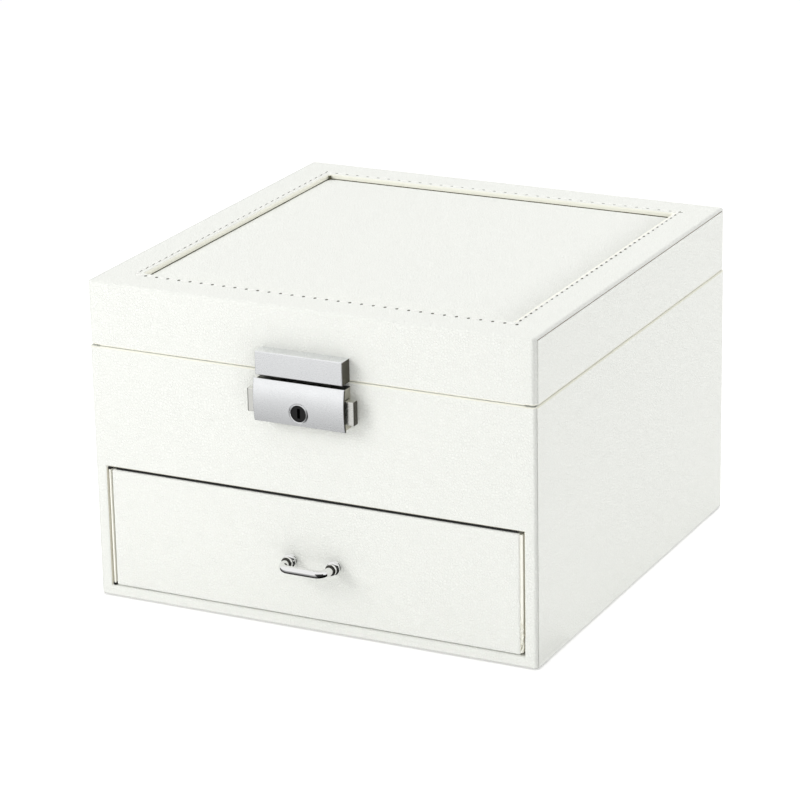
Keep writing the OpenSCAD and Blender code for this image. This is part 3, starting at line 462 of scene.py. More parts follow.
# its top, seen in the gap under the strike block, is painted shade
NICKEL_CASE = PartPlated("nickel_lock_body", (0.60, 0.58, 0.50), 0.35, (1.0, 1.0, 3.0), 0.004,
                         dark=(0.02, 0.02, 0.015), axis=Z, bright_to=94.4)
STEEL = Plated("nickelled_steel", (0.66, 0.65, 0.62), 0.30, (2.0, 0.6, 2.0))
STEEL_DARK = Plated("plain_steel", (0.12, 0.115, 0.10), 0.45, (2.0, 0.6, 2.0))
SLIDER = PartPlated("slider_with_plated_tab", (0.84, 0.84, 0.80), 0.28, dark=(0.08, 0.075, 0.06),
                    bright_from=15.5, bright_to=20.5)
CHROME = Plated("polished_chrome", (0.86, 0.86, 0.855), 0.06, (1.0, 1.0, 1.0), 0.0005, 0.03)
# painted dark reflection in the handle rings' grooves
GROOVE_SHADE = Plated("ring_groove_painted_reflection", (0.06, 0.058, 0.05), 0.30, (1.0, 1.0, 1.0), 0.001)
PLUG_BLACK = Plated("black_key_plug", (0.035, 0.035, 0.035), 0.35, (1.0, 1.0, 1.0), 0.002, 0.1)
MIRROR = Plated("silvered_glass", (0.92, 0.93, 0.935), 0.015, (0.2, 0.2, 0.2), 0.0, 0.01)


# ---- mesh work


@dataclass(frozen=True)
class Span:
    """A box in millimetres."""

    lo: Vector
    hi: Vector

    @classmethod
    def of(cls, *nodes: str) -> "Span":
        """The box round one or more nodes of the frame."""
        boxes = [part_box(n) for n in nodes]
        return cls(Vector([min(b[0][i] for b in boxes) for i in (X, Y, Z)]) / MM,
                   Vector([max(b[1][i] for b in boxes) for i in (X, Y, Z)]) / MM)

    @property
    def size(self) -> Vector:
        """Its three lengths."""
        return self.hi - self.lo

    @property
    def mid(self) -> Vector:
        """Its middle."""
        return (self.lo + self.hi) / 2

    def shrunk(self, wall: float, open_way: int = 0) -> "Span":
        """The room inside a wall that is open upwards (1), downwards (-1) or nowhere (0)."""
        low, high = (0 if open_way == way else wall for way in (-1, 1))
        return Span(self.lo + Vector((wall, wall, low)), self.hi - Vector((wall, wall, high)))


def lies(edge: bmesh.types.BMEdge, axis: int, place: float, slack: float = 0.02) -> bool:
    """Whether both ends of an edge lie at one place along an axis."""
    return all(abs(v.co[axis] - place) < slack for v in edge.verts)


def runs(edge: bmesh.types.BMEdge, axis: int) -> bool:
    """Whether an edge runs along an axis."""
    way = edge.verts[1].co - edge.verts[0].co
    return abs(way[axis]) > 0.999 * way.length


def middle(edge: bmesh.types.BMEdge) -> Vector:
    """The middle of an edge."""
    return (edge.verts[0].co + edge.verts[1].co) / 2


def points_in(geom: Iterable) -> list[bmesh.types.BMVert]:
    """The points among what an operator gives back."""
    return [g for g in geom if isinstance(g, bmesh.types.BMVert)]


def soften(piece: bpy.types.Object, width: float) -> None:
    """Rounds the sharp edges of an object."""
    edge = piece.modifiers.new("soft_edges", "BEVEL")
    edge.width, edge.segments, edge.limit_method = width * MM, 2, "ANGLE"
    edge.angle_limit = math.radians(50)


class Form:
    """A mesh in the making, in millimetres; most of its methods shape it and give it back."""

    def __init__(self) -> None:
        """Starts empty."""
        self.bm = bmesh.new()

    def faces(self, where: FaceTest | None = None) -> list[bmesh.types.BMFace]:
        """The faces whose middle and normal pass a test, or all of them."""
        self.bm.normal_update()
        return [f for f in self.bm.faces if where is None or where(f.calc_center_median(), f.normal)]

    def open_edges(self) -> list[bmesh.types.BMEdge]:
        """The edges with a face on one side only."""
        return [e for e in self.bm.edges if e.is_boundary]

    def block(self, lo: Point, hi: Point) -> "Form":
        """Adds a block from its lowest to its highest corner."""
        lo, hi = Vector(lo), Vector(hi)
        stretch = Matrix.Diagonal((*(hi - lo), 1))
        bmesh.ops.create_cube(self.bm, size=1, matrix=Matrix.Translation((lo + hi) / 2) @ stretch)
        return self

    def rod(self, base: Point, tip: Point, radius: float, end_radius: float, sides: int) -> "Form":
        """Adds a rod or cone between two points, with the radius that it has at each."""
        base, tip = Vector(base), Vector(tip)
        turned = (tip - base).to_track_quat("Z", "Y").to_matrix().to_4x4()
        bmesh.ops.create_cone(self.bm, cap_ends=True, segments=sides, radius1=radius, radius2=end_radius,
                              depth=(tip - base).length, matrix=Matrix.Translation((base + tip) / 2) @ turned)
        return self

    def plate(self, lo: Point, hi: Point, cells: int = 1) -> "Form":
        """Adds a flat grid at the height of lo, with so many cells each way."""
        lo, hi = Vector(lo), Vector(hi)
        at = Matrix.Translation(((lo.x + hi.x) / 2, (lo.y + hi.y) / 2, lo.z))
        stretch = Matrix.Diagonal(((hi.x - lo.x) / 2, (hi.y - lo.y) / 2, 1, 1))
        bmesh.ops.create_grid(self.bm, x_segments=cells, y_segments=cells, size=1, matrix=at @ stretch)
        return self

    def disc(self, at: Point, radius: float, sides: int, filled: bool = True) -> list[bmesh.types.BMVert]:
        """Adds a circle across Y and gives its points."""
        turned = Matrix.Translation(at) @ Matrix.Rotation(HALF_TURN / 2, 4, "X")
        return bmesh.ops.create_circle(self.bm, cap_ends=filled, segments=sides, radius=radius,
                                       matrix=turned)["verts"]

    def lathe(self, profile: Iterable[Point], centre: Point, steps: int) -> "Form":
        """Turns a closed profile round an axis along Y.

        Args:
            profile: The place along Y and the radius of each of its points.
            centre: A point of the axis.
            steps: The steps in the turn.

        Returns:
            The form.
        """
        points = [self.bm.verts.new((centre[X] + radius, y, centre[Z])) for y, radius in profile]
        chain = [self.bm.edges.new(pair) for pair in zip(points, points[1:] + points[:1])]
        bmesh.ops.spin(self.bm, geom=[*points, *chain], cent=centre, axis=(0, 1, 0), dvec=(0, 0, 0),
                       angle=2 * HALF_TURN, steps=steps, use_merge=True)
        return self

    def bevel(self, where: EdgeTest, width: float, segments: int = 3) -> "Form":
        """Rounds the edges that pass a test."""
        bmesh.ops.bevel(self.bm, geom=[e for e in self.bm.edges if where(e)], offset=width,
                        offset_type="OFFSET", segments=segments, profile=0.5, affect="EDGES", material=-1,
                        clamp_overlap=True)
        return self

    def cut(self, axis: int, *places: float, where: FaceTest | None = None) -> "Form":
        """Cuts faces along planes across an axis.

        Args:
            axis: The axis.
            *places: Where the planes cross it.
            where: Which faces are cut, by their middle and normal; all of them if left out.

        Returns:
            The form.
        """
        for place in places:
            at, way = Vector(), Vector()
            at[axis], way[axis] = place, 1
            faces = self.faces(where)
            edges = list(dict.fromkeys(e for f in faces for e in f.edges))
            corners = list(dict.fromkeys(v for f in faces for v in f.verts))
            bmesh.ops.bisect_plane(self.bm, geom=[*corners, *edges, *faces], dist=1e-4, plane_co=at,
                                   plane_no=way)
        return self

    def mesh_cuts(self, step: float) -> "Form":
        """Cuts the form into cells of about a step, so that it can ripple."""
        for axis in (X, Y, Z):
            places = [v.co[axis] for v in self.bm.verts]
            low, high = min(places), max(places)
            count = int((high - low) / step)
            self.cut(axis, *[low + (high - low) * (i + 0.5) / count for i in range(count)])
        return self

    def drop(self, where: FaceTest) -> "Form":
        """Deletes the faces whose middle and normal pass a test."""
        bmesh.ops.delete(self.bm, geom=self.faces(where), context="FACES")
        return self

    def pull(self, edges: Iterable[bmesh.types.BMEdge], by: Point = (0, 0, 0)) -> list[bmesh.types.BMVert]:
        """Extrudes edges, moves the new points and gives them."""
        moved = points_in(bmesh.ops.extrude_edge_only(self.bm, edges=edges)["geom"])
        bmesh.ops.translate(self.bm, vec=by, verts=moved)
        return moved

    def push(self, face: bmesh.types.BMFace, by: Point) -> bmesh.types.BMFace:
        """Extrudes a face, moves the new one and gives it."""
        made = bmesh.ops.extrude_face_region(self.bm, geom=[face])["geom"]
        bmesh.ops.translate(self.bm, vec=by, verts=points_in(made))
        return next(g for g in made if isinstance(g, bmesh.types.BMFace))

    def thicken(self, wall: float) -> "Form":
        """Gives a sheet its wall, behind its face."""
        bmesh.ops.solidify(self.bm, geom=self.faces(), thickness=wall)
        self.bm.normal_update()
        return self

    def ripple(self, amount: float, size: float, seed: float = 0.0) -> "Form":
        """Moves each point a little along its normal.

        Args:
            amount: The most that it moves.
            size: The length of one ripple.
            seed: Shifts the pattern, so that like pieces differ.

        Returns:
            The form.
        """
        self.bm.normal_update()
        for v in self.bm.verts:
            v.co += v.normal * amount * noise.noise(v.co / size + Vector((seed, seed * 2, 3)))
        return self

    def reverse(self) -> "Form":
        """Turns the faces over."""
        bmesh.ops.reverse_faces(self.bm, faces=self.bm.faces[:])
        return self

    def flip(self, axis: int) -> "Form":
        """Mirrors the form across the middle."""
        way = Vector((1, 1, 1))
        way[axis] = -1
        bmesh.ops.scale(self.bm, vec=way, verts=self.bm.verts[:])
        return self.reverse()

    def welded(self) -> "Form":
        """Joins points that lie together and turns the faces outwards."""
        bmesh.ops.remove_doubles(self.bm, verts=self.bm.verts[:], dist=0.001)
        return self.outward()

    def outward(self) -> "Form":
        """Turns the faces of a closed form outwards."""
        bmesh.ops.recalc_face_normals(self.bm, faces=self.bm.faces[:])
        return self

    def tint(self, where: FaceTest, index: int) -> "Form":
        """Gives faces another of the piece's finishes."""
        for f in self.faces(where):
            f.material_index = index
        return self

    def join(self, part: "Form") -> "Form":
        """Takes in another form."""
        joined = bpy.data.meshes.new("joined")
        part.bm.to_mesh(joined)
        part.bm.free()
        self.bm.from_mesh(joined)
        bpy.data.meshes.remove(joined)
        return self

    def placed(self, name: str) -> bpy.types.Object:
        """Turns the form into an object of the scene."""
        mesh = bpy.data.meshes.new(name)
        bmesh.ops.scale(self.bm, vec=(MM, MM, MM), verts=self.bm.verts[:])
        self.bm.to_mesh(mesh)
        self.bm.free()
        made = bpy.data.objects.new(name, mesh)
        bpy.context.scene.collection.objects.link(made)
        return made

    def make(self, name: str, finishes: Sequence[Finish], body: Body, slot: Slot,
             replaces: Iterable[str] = (), crease: float = 40.0, soft: float = 0.0) -> bpy.types.Object:
        """Turns the form into a piece of the object.

        Args:
            name: The piece's name.
            finishes: Its finishes, in the order of their numbers.
            body: The body that it rides on.
            slot: The record's slot; not used.
            replaces: The nodes of the frame that it stands for.
            crease: Edges sharper than this angle stay sharp.
            soft: Width of the rounding of its sharp edges.

        Returns:
            The piece.
        """
        piece = self.placed(name)
        mesh = piece.data
        mesh.polygons.foreach_set("use_smooth", [True] * len(mesh.polygons))
        mesh.set_sharp_from_angle(angle=math.radians(crease))
        for finish in finishes:
            mesh.materials.append(finish.material())
        if soft:
            soften(piece, soft)
        piece.modifiers.new("even_light", "WEIGHTED_NORMAL").keep_sharp = True
        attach(piece, body.value)
        if replaces:
            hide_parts(*replaces)
        log.info("%s: %d faces on %s", name, len(mesh.polygons), body.value)
        return piece


# ---- coverings


@dataclass
class Covering:
    """Leathercloth glued over a box of boards: wrapped ends, and side sheets laid in between."""

    outer: Span
    body: Body = Body.CASE
    way: int = -1
    skin: float = 0.8
    corner_r: float = 1.3
    rim_r: float = 0.6
    step_in: float = 0.2
    wrap: float = 1.0
    seam: float = 0.15
    turn: float = 8.8
    rim_in: float = 5.1
    cell: float = 7.0
    ripple: float = 0.05
    ripple_size: float = 22.0
    seam_close: float = 0.105
    base_turn: float = 0.0
    end_x: float = 82.9
    end_gap: float = 0.22
    end_slope: float = 0.4
    edge_seen: float = 1.2
    end_soft: float = 0.12
    side_soft: float = 0.15

    @property
    def rim_z(self) -> float:
        """The height of the rim, closed up to the seam; sheets turn up there if way is 1, else down."""
        return self.outer.lo.z - self.seam_close if self.way > 0 else self.outer.hi.z + self.seam_close

    @property
    def wrapped_x(self) -> float:
        """Half the width over the wrapped ends."""
        return self.outer.hi.x - self.step_in

    @property
    def wrap_y(self) -> float:
        """Where a wrapped end stops on the side."""
        return self.outer.hi.y - self.wrap

    @property
    def rim_y(self) -> float:
        """The inner line of the front and back rims."""
        return self.outer.hi.y - self.rim_in

    @property
    def rim_x(self) -> float:
        """The inner line of the side rims."""
        return self.outer.hi.x - self.rim_in

    def shell(self, half_x: float, low: float, high: float, high_r: float) -> Form:
        """The covered box as a closed rounded block.

        Args:
            half_x: Half its width.
            low: Its lowest height.
            high: Its highest height.
            high_r: Radius of its upper edges.

        Returns:
            The form.
        """
        y = self.outer.hi.y
        form = Form().block((-half_x, -y, low), (half_x, y, high))
        form.bevel(lambda e: runs(e, Z), self.corner_r, 5)
        form.bevel(lambda e: lies(e, Z, high), high_r, 4)
        return form.bevel(lambda e: lies(e, Z, low), self.rim_r, 3)

    def cut_rim(self, form: Form) -> Form:
        """Cuts the front and back rims where the turned-in strip ends and where the rim gives way."""
        places = [side * x for side in (-1, 1) for x in (self.rim_x, self.end_x, self.end_x + self.end_slope)]
        return form.cut(X, *places, where=lambda c, n: self.way * (c.z - self.rim_z) < 1)

    def turn_in(self, form: Form, axis: int) -> Form:
        """Turns the rims that run along an axis into the box."""
        across, line = (Y, self.rim_y) if axis == X else (X, self.rim_x)

        def at_rim(e: bmesh.types.BMEdge) -> bool:
            """Whether an edge is a rim's inner line."""
            return lies(e, Z, self.rim_z) and abs(abs(middle(e)[across]) - line) < 0.02 and runs(e, axis)

        form.pull([e for e in form.bm.edges if at_rim(e)], (0, 0, self.way * self.turn))
        return form.bevel(at_rim, self.rim_r)

    def finish(self, form: Form, seed: float) -> Form:
        """Ripples a sheet and gives it its thickness."""
        return form.mesh_cuts(self.cell).ripple(self.ripple, self.ripple_size, seed).thicken(self.skin)

    def finish_end(self, form: Form, seed: float) -> Form:
        """Finishes a wrapped sheet, whose rim gives way at its ends, past the turned-in strip."""
        self.finish(form, seed)
        for v in form.bm.verts:
            past = abs(v.co.x) - self.end_x
            if abs(v.co.z - self.rim_z) < 1.0 and past > 0:
                v.co.z += self.way * self.end_gap * min(1.0, past / self.end_slope)
        return form

    def tint_rim(self, form: Form, index: int) -> Form:
        """Gives the rounding at the rim's outer edge, which the shut seam shows, its own finish; on the side
        sheets that is painted shade along the seam.
        """
        x, y = self.outer.hi.x - self.edge_seen, self.outer.hi.y - self.edge_seen
        return form.tint(lambda c, n: abs(c.z - self.rim_z) < self.rim_r + 0.1 and 0.15 < abs(n.z) < 0.97
                         and (abs(c.x) > x or abs(c.y) > y), index)

    def side_form(self, low: float, high: float, high_r: float) -> Form:
        """The right sheet: along the side, over the rim and, with a base turn, round the side's other end.

        Args:
            low: Its lowest height.
            high: Its highest height.
            high_r: Radius of its upper edges.

        Returns:
            The form.
        """
        end_y, top_y = self.wrap_y - self.seam, self.rim_y + self.skin - self.seam / 2
        base_x, base_y = self.outer.hi.x - self.base_turn, self.outer.hi.y - self.base_turn - self.seam
        edge_x = self.wrapped_x - self.rim_r + 0.05
        form = self.shell(self.outer.hi.x, low, high, high_r)
        if self.base_turn:
            form.cut(Y, -base_y, base_y).cut(X, base_x)
        form.cut(Y, -end_y, -top_y, top_y, end_y).cut(X, self.rim_x, edge_x)

        def spare(c: Vector, n: Vector) -> bool:
            """Whether a face is no part of this sheet."""
            if c.x < 0 or abs(c.y) > end_y:
                return True
            if self.way * n.z < -SQUARE:
                return c.x < self.rim_x or (abs(c.y) > top_y and c.x < edge_x)
            if self.way * n.z > SQUARE:
                return not self.base_turn or c.x < base_x or abs(c.y) > base_y
            return n.x < 0.02

        return self.turn_in(form.drop(spare), Y)

    def sides(self, low: float, high: float, high_r: float, seed: float, nodes: str) -> None:
        """Makes the right and left sheets.

        Args:
            low: Their lowest height.
            high: Their highest height.
            high_r: Radius of their upper edges.
            seed: Shifts their ripples.
            nodes: What the names of their nodes start with.
        """
        for side, word in ((1, "right"), (-1, "left")):
            form = self.finish(self.side_form(low, high, high_r), side * seed)
            if side < 0:
                form.flip(X)
            # the rim's rounding takes painted shade along the shut seam
            self.tint_rim(form, 1).make(f"{self.body.value}_{word}_cloth", [LEATHER, LEATHER_SEAM_SHADE], self.body,
                                        Slot.LEATHERCLOTH, [f"{nodes}{word}_skin"], soft=self.side_soft)


@dataclass
class CaseCovering(Covering):
    """The lower part's covering, with the opening of the drawer."""

    base_turn: float = 10.8
    opening_r: float = 1.0
    opening_deep: float = 2.6
    bay: Span = field(default_factory=lambda: Span.of("bay_lining"))

    def build(self) -> None:
        """Makes the four sheets of the case."""
        self.front()
        self.tint_rim(self.finish_end(self.end_form().flip(Y), 3.0), 1).make(
            "case_back_cloth", [LEATHER_WRAPPED, LEATHER_TURNED], self.body, Slot.LEATHERCLOTH, ["back_skin"],
            soft=self.end_soft)
        self.sides(self.outer.lo.z, self.rim_z, self.rim_r, 2.0, "")

    def end_form(self) -> Form:
        """The front sheet before its opening: up the front, over the rim, and under the base."""
        base_y = self.outer.hi.y - self.base_turn
        rim_side = self.rim_y + self.skin
        form = self.shell(self.wrapped_x, self.outer.lo.z, self.rim_z, self.rim_r)
        self.cut_rim(form.cut(Y, -self.wrap_y, -rim_side, -self.rim_y, -base_y))

        def spare(c: Vector, n: Vector) -> bool:
            """Whether a face is no part of this sheet."""
            if c.y < -self.wrap_y:
                return False
            if n.z > FLAT:
                return c.y > -self.rim_y or (c.y > -rim_side and abs(c.x) > self.rim_x)
            return not (n.z < -FLAT and c.y < -base_y and abs(c.x) < self.wrapped_x - 1)

        return self.turn_in(form.drop(spare), X)

    def front(self) -> None:
        """Makes the front sheet with the drawer's opening turned in."""
        face, half = -self.outer.hi.y, self.bay.hi.x - self.skin
        low, high = self.bay.lo.z + self.skin, self.bay.hi.z - self.skin
        form = self.end_form().cut(X, -half, half, where=lambda c, n: n.y < -FLAT)
        form.cut(Z, low, high, where=lambda c, n: n.y < -FLAT)
        form.drop(lambda c, n: n.y < -FLAT and abs(c.x) < half and low < c.z < high)

        def at_opening(e: bmesh.types.BMEdge) -> bool:
            """Whether an edge lies on the opening's outline."""
            m = middle(e)
            inside = abs(m.x) < half + 0.01 and low - 0.01 < m.z < high + 0.01
            return inside and lies(e, Y, face) and len(e.link_faces) == 1

        def in_corner(e: bmesh.types.BMEdge) -> bool:
            """Whether an edge runs inwards from a corner at the left of the opening."""
            m = middle(e)
            at_corner = abs(m.x + half) < 0.01 and min(abs(m.z - z) for z in (low, high)) < 0.01
            return runs(e, Y) and at_corner and any(v in corners for v in e.verts)

        outline = {e for e in form.bm.edges if at_opening(e)}
        corners = {v for e in outline for v in e.verts}
        form.pull([e for e in form.bm.edges if e in outline], (0, self.opening_deep, 0))
        form.bevel(lambda e: e in outline or in_corner(e), self.opening_r)
        self.finish_end(form, 1.0)
        # the opening's turned-in walls take painted shade
        form.tint(lambda c, n: c.y > face + 0.3 and abs(c.x) < half + 1 and abs(n.y) < 0.8
                  and low + 0.3 < c.z < high + 1, 1)
        self.tint_rim(form, 2).make("case_front_cloth", [LEATHER_WRAPPED, OPENING_SHADE, LEATHER_TURNED],
                                    self.body, Slot.LEATHERCLOTH, ["front_skin"], soft=self.end_soft)


@dataclass
class LidCovering(Covering):
    """The lid's covering: one sheet over the top, front and back, and a sheet on each side."""

    body: Body = Body.LID
    way: int = 1
    corner_r: float = 1.8
    step_in: float = 0.3
    wrap: float = 1.9
    seam: float = 0.06
    top_r: float = 0.75
    side_edge_r: float = 0.4
    side_drop: float = 0.8
    top_seam: float = 0.2
    window_r: float = 1.5
    window_edge_r: float = 0.9
    window_deep: float = 3.2
    wall_seen: float = 1.6
    bead: float = 0.2
    bead_off: float = 0.75
    bead_w: float = 0.45
    gap_in: float = 0.6
    gap_r: Point = (0.8, 0.55)
    gap_below: float = 0.4
    # lit, lit_end and lit_deep place a painted highlight along the window's right edge
    lit: Point = (-0.5, 1.3)
    lit_end: float = 0.4
    lit_deep: float = 0.8
    wall_deep: float = 5.0
    window: Point = field(default_factory=lambda: [half + 0.3 for half in Span.of("lid_pad").hi[:2]])

    def build(self) -> None:
        """Makes the lid's three sheets, and a dark rod at a corner of its window, painted shade for the gap
        in the turned-in cloth.
        """
        self.top()
        x, y, high = self.gap_in - self.window[X], self.window[Y] - self.gap_in, self.outer.hi.z
        # a dark rod: painted shade in the gap at the window's corner
        gap = Form().rod((x, y, high - self.window_deep), (x, y, high - self.gap_below), *self.gap_r, 12)
        gap.make("recess_corner_gap_shade", [SEAM_SHADE], self.body, Slot.LEATHERCLOTH)
        self.sides(self.rim_z, high - self.side_drop - self.top_seam, self.side_edge_r, 5.0, "lid_")

    def past_window(self, c: Vector) -> float:
        """How far a point lies outside the window."""
        return max(abs(c.x) - self.window[X], abs(c.y) - self.window[Y])

    def top(self) -> None:
        """Makes the wrapped sheet with its window."""
        high, (wide, deep) = self.outer.hi.z, self.window
        rim_side, edge_z = self.rim_y + self.skin, high - self.side_drop
        form = self.shell(self.wrapped_x, self.rim_z, high, self.top_r)
        for y in (self.wrap_y, rim_side, self.rim_y):
            form.cut(Y, -y, y)
        self.cut_rim(form).cut(Z, edge_z)

        def spare(c: Vector, n: Vector) -> bool:
            """Whether a face is no part of this sheet."""
            if abs(c.y) > self.wrap_y or c.z > edge_z:
                return False
            strip = abs(c.y) > rim_side or (abs(c.y) > self.rim_y and abs(c.x) < self.rim_x)
            return not (n.z < -FLAT and strip)

        self.turn_in(form.drop(spare), X).cut(X, -wide, wide).cut(Y, -deep, deep)
        form.drop(lambda c, n: n.z > FLAT and self.past_window(c) < 0 and c.z > edge_z)

        def at_window(e: bmesh.types.BMEdge) -> bool:
            """Whether an edge lies on the window's outline."""
            at_wall = len(e.link_faces) == 1 or any(abs(f.normal.z) < 0.5 for f in e.link_faces)
            return lies(e, Z, high) and self.past_window(middle(e)) < self.window_r + 0.1 and at_wall

        def in_corner(e: bmesh.types.BMEdge) -> bool:
            """Whether an edge stands in a corner of the window."""
            m = middle(e)
            return runs(e, Z) and abs(abs(m.x) - wide) < 0.01 and abs(abs(m.y) - deep) < 0.01

        form.pull([e for e in form.bm.edges if at_window(e)], (0, 0, -self.window_deep))
        form.bevel(in_corner, self.window_r, 4)
        form.bm.normal_update()
        form.bevel(at_window, self.window_edge_r).cut(Z, high - self.wall_seen)
        self.puff(form)
        self.tint_rim(self.finish_end(form, 7.0), 1)
        # the window's wall: cream turned cloth at the top, then painted crease shade below wall_seen
        for index, top in ((1, high), (2, high - self.wall_seen)):
            form.tint(lambda c, n: abs(n.z) < 0.8 and self.past_window(c) < 1
                      and high - self.wall_deep < c.z < top, index)
        # painted highlight along the window's right edge
        form.tint(lambda c, n: n.z > 0.3 and self.lit[0] < c.x - wide < self.lit[1]
                  and abs(c.y) < deep + self.lit_end and c.z > high - self.lit_deep, 3)
        form.make("lid_top_cloth", [LEATHER_LID_CORNER_SHADE, LEATHER_TURNED, SEAM_SHADE, LEATHER_EDGE_PAINTED_LIGHT], self.body,
                  Slot.LEATHERCLOTH, ["lid_wrap"], soft=self.end_soft)

    def puff(self, form: Form) -> None:
        """Raises the cloth in a low bead along the window, inside its stitches."""
        for off in [self.bead_off + step * self.bead_w / 2 for step in range(-1, 5)]:
            for axis in (X, Y):
                place = self.window[axis] + off
                form.cut(axis, -place, place, where=lambda c, n: n.z > FLAT)
        for v in form.bm.verts:
            off = self.past_window(v.co)
            if v.co.z > self.outer.hi.z - self.window_edge_r / 2 and off < 3:
                v.co.z += self.bead * math.exp(-((off - self.bead_off) / self.bead_w) ** 2)


@dataclass
class PaddedPanel:
    """The foam panel in the lid's window."""

    node: Span
    crown: float = 2.0
    edge_z: float = 118.65
    roll: float = 15.0
    roll_curve: float = 2.6
    corner_r: float = 2.0
    cells: int = 48
    frames: int = 20
    pressure: float = 4.0
    stiffness: float = 25.0
    air_share: float = 0.2

    def build(self) -> None:
        """Makes the panel: a sheet pinned at its edge, filled from below, and held to its foam's height."""
        half = self.node.hi
        form = Form().plate((-half.x, -half.y, self.edge_z), (half.x, half.y, self.edge_z), self.cells)
        rises = [self.rolled(v.co) for v in form.bm.verts]
        air = self.air_share
        rises = [(1 - air) * n + air * p for n, p in zip(rises, self.blown(form))]
        for v, rise in zip(form.bm.verts, rises):
            v.co.z += self.crown * rise
        self.close(form)

    def rolled(self, co: Vector) -> float:
        """How high the foam stands at a point, from 0 at the edge to 1."""
        shares = [min(1.0, (self.node.hi[axis] - abs(co[axis])) / self.roll) for axis in (X, Y)]
        return math.prod(1 - (1 - max(s, 0.0)) ** self.roll_curve for s in shares)

    def blown(self, form: Form) -> list[float]:
        """The rise of each point, from 0 to 1, where the air pushes a pinned sheet up.

        Args:
            form: The flat grid.

        Returns:
            The rises.
        """
        copy = Form()
        copy.bm.free()
        copy.bm = form.bm.copy()
        trial = copy.placed("pad_trial")
        edge = [v.index for v in trial.data.vertices
                if any(abs(v.co[axis]) > (self.node.hi[axis] - 0.1) * MM for axis in (X, Y))]
        trial.vertex_groups.new(name="edge").add(edge, 1.0, "REPLACE")
        cloth = trial.modifiers.new("cloth", "CLOTH").settings
        cloth.vertex_group_mass = "edge"
        cloth.effector_weights.gravity = 0
        cloth.use_pressure = True
        cloth.uniform_pressure_force = self.pressure
        cloth.tension_stiffness = cloth.compression_stiffness = self.stiffness
        cloth.quality = 6
        scene = bpy.context.scene
        for number in range(1, self.frames + 1):
            scene.frame_set(number)
        done = trial.evaluated_get(bpy.context.evaluated_depsgraph_get()).data
        heights = [v.co.z / MM for v in done.vertices]
        scene.frame_set(1)
        bpy.data.objects.remove(trial)
        base = min(heights)
        full = max(heights) - base
        if full <= 0:
            return [math.tanh(3 * self.rolled(v.co)) for v in form.bm.verts]
        return [math.tanh(3 * (h - base) / full) for h in heights]

    def close(self, form: Form) -> None:
        """Rounds the corners, adds the sides and the underside, and makes the piece."""
        half, r = self.node.hi, self.corner_r
        for v in form.bm.verts:
            dx, dy = abs(v.co.x) - half.x + r, abs(v.co.y) - half.y + r
            if dx > 0 and dy > 0:
                shrink = max(dx, dy) / math.hypot(dx, dy)
                v.co.x = math.copysign(half.x - r + dx * shrink, v.co.x)
                v.co.y = math.copysign(half.y - r + dy * shrink, v.co.y)
        for v in form.pull(form.open_edges()):
            v.co.z = self.node.lo.z
        bmesh.ops.edgeloop_fill(form.bm, edges=form.open_edges())
        # the pad's sides take painted crease shade
        form.outward().ripple(0.05, 16.0, 11.0).tint(lambda c, n: abs(n.z) < 0.5, 1)
        pad = form.make("lid_pad_cushion", [LEATHER_PAD, SEAM_SHADE], Body.LID, Slot.LEATHERCLOTH,
                        ["lid_pad"], crease=50)


@dataclass
class Stitching:
    """The row of stitches round the window: threads with a dark disc between them, painted shade of the
    needle hole.
    """

    half_x: float
    half_y: float
    top: float
    pitch: float = 4.55
    right_pitch: float = 4.4
    right_in: float = 0.75
    length: float = 3.3
    thread_r: float = 0.3
    thread_up: float = 0.02
    hole_up: float = 0.035
    hole_deep: float = 0.05
    tilt: float = 6.0
    front_hole: Point = (0.55, 0.7)
    back_hole: Point = (0.6, 0.25)
    left_hole: Point = (1.25, 0.2)
    right_hole: Point = (0.8, 0.45)

    def places(self) -> list[tuple[Vector, float, Point]]:
        """The middle and direction of each stitch, and the half lengths of its needle hole."""
        found = []
        for axis, off, half, pitch, hole in (
                (X, -self.half_y, self.half_x, self.pitch, self.front_hole),
                (X, self.half_y, self.half_x, self.pitch, self.back_hole),
                (Y, -self.half_x, self.half_y, self.pitch, self.left_hole),
                (Y, self.half_x - self.right_in, self.half_y, self.right_pitch, self.right_hole)):
            count = round(2 * half / pitch)
            for i in range(count):
                along = half * (2 * (i + 0.5) / count - 1)
                place = (along, off) if axis == X else (off, along)
                found.append((Vector((*place, self.top)), 0.0 if axis == X else 90.0, hole))
        return found

    def build(self) -> None:
        """Makes the threads and the dark discs between them, painted shade of the needle holes."""
        threads, holes = Form(), Form()
        for at, turn, hole in self.places():
            turned = Matrix.Rotation(math.radians(turn + self.tilt), 4, "Z")
            size = Matrix.Diagonal((self.length / 2, self.thread_r, self.thread_r, 1))
            thread_at = Matrix.Translation(at + Vector((0, 0, self.thread_up)))
            bmesh.ops.create_uvsphere(threads.bm, u_segments=8, v_segments=6, radius=1,
                                      matrix=thread_at @ turned @ size)
            step = Matrix.Rotation(math.radians(turn), 4, "Z") @ Vector((self.pitch / 2, 0, 0))
            hole_at = Matrix.Translation(at + step + Vector((0, 0, self.hole_up)))
            bmesh.ops.create_circle(holes.bm, cap_ends=True, segments=10, radius=1,
                                    matrix=hole_at @ turned @ Matrix.Diagonal((*hole, 1, 1)))
        bmesh.ops.reverse_faces(holes.bm, faces=[f for f in holes.bm.faces if f.normal.z < 0])
        threads.make("border_stitches", [THREAD], Body.LID, Slot.LEATHERCLOTH)
        holes.thicken(self.hole_deep).make("border_needle_hole_shade", [NEEDLE_HOLE_SHADE], Body.LID, Slot.LEATHERCLOTH)


# ---- linings


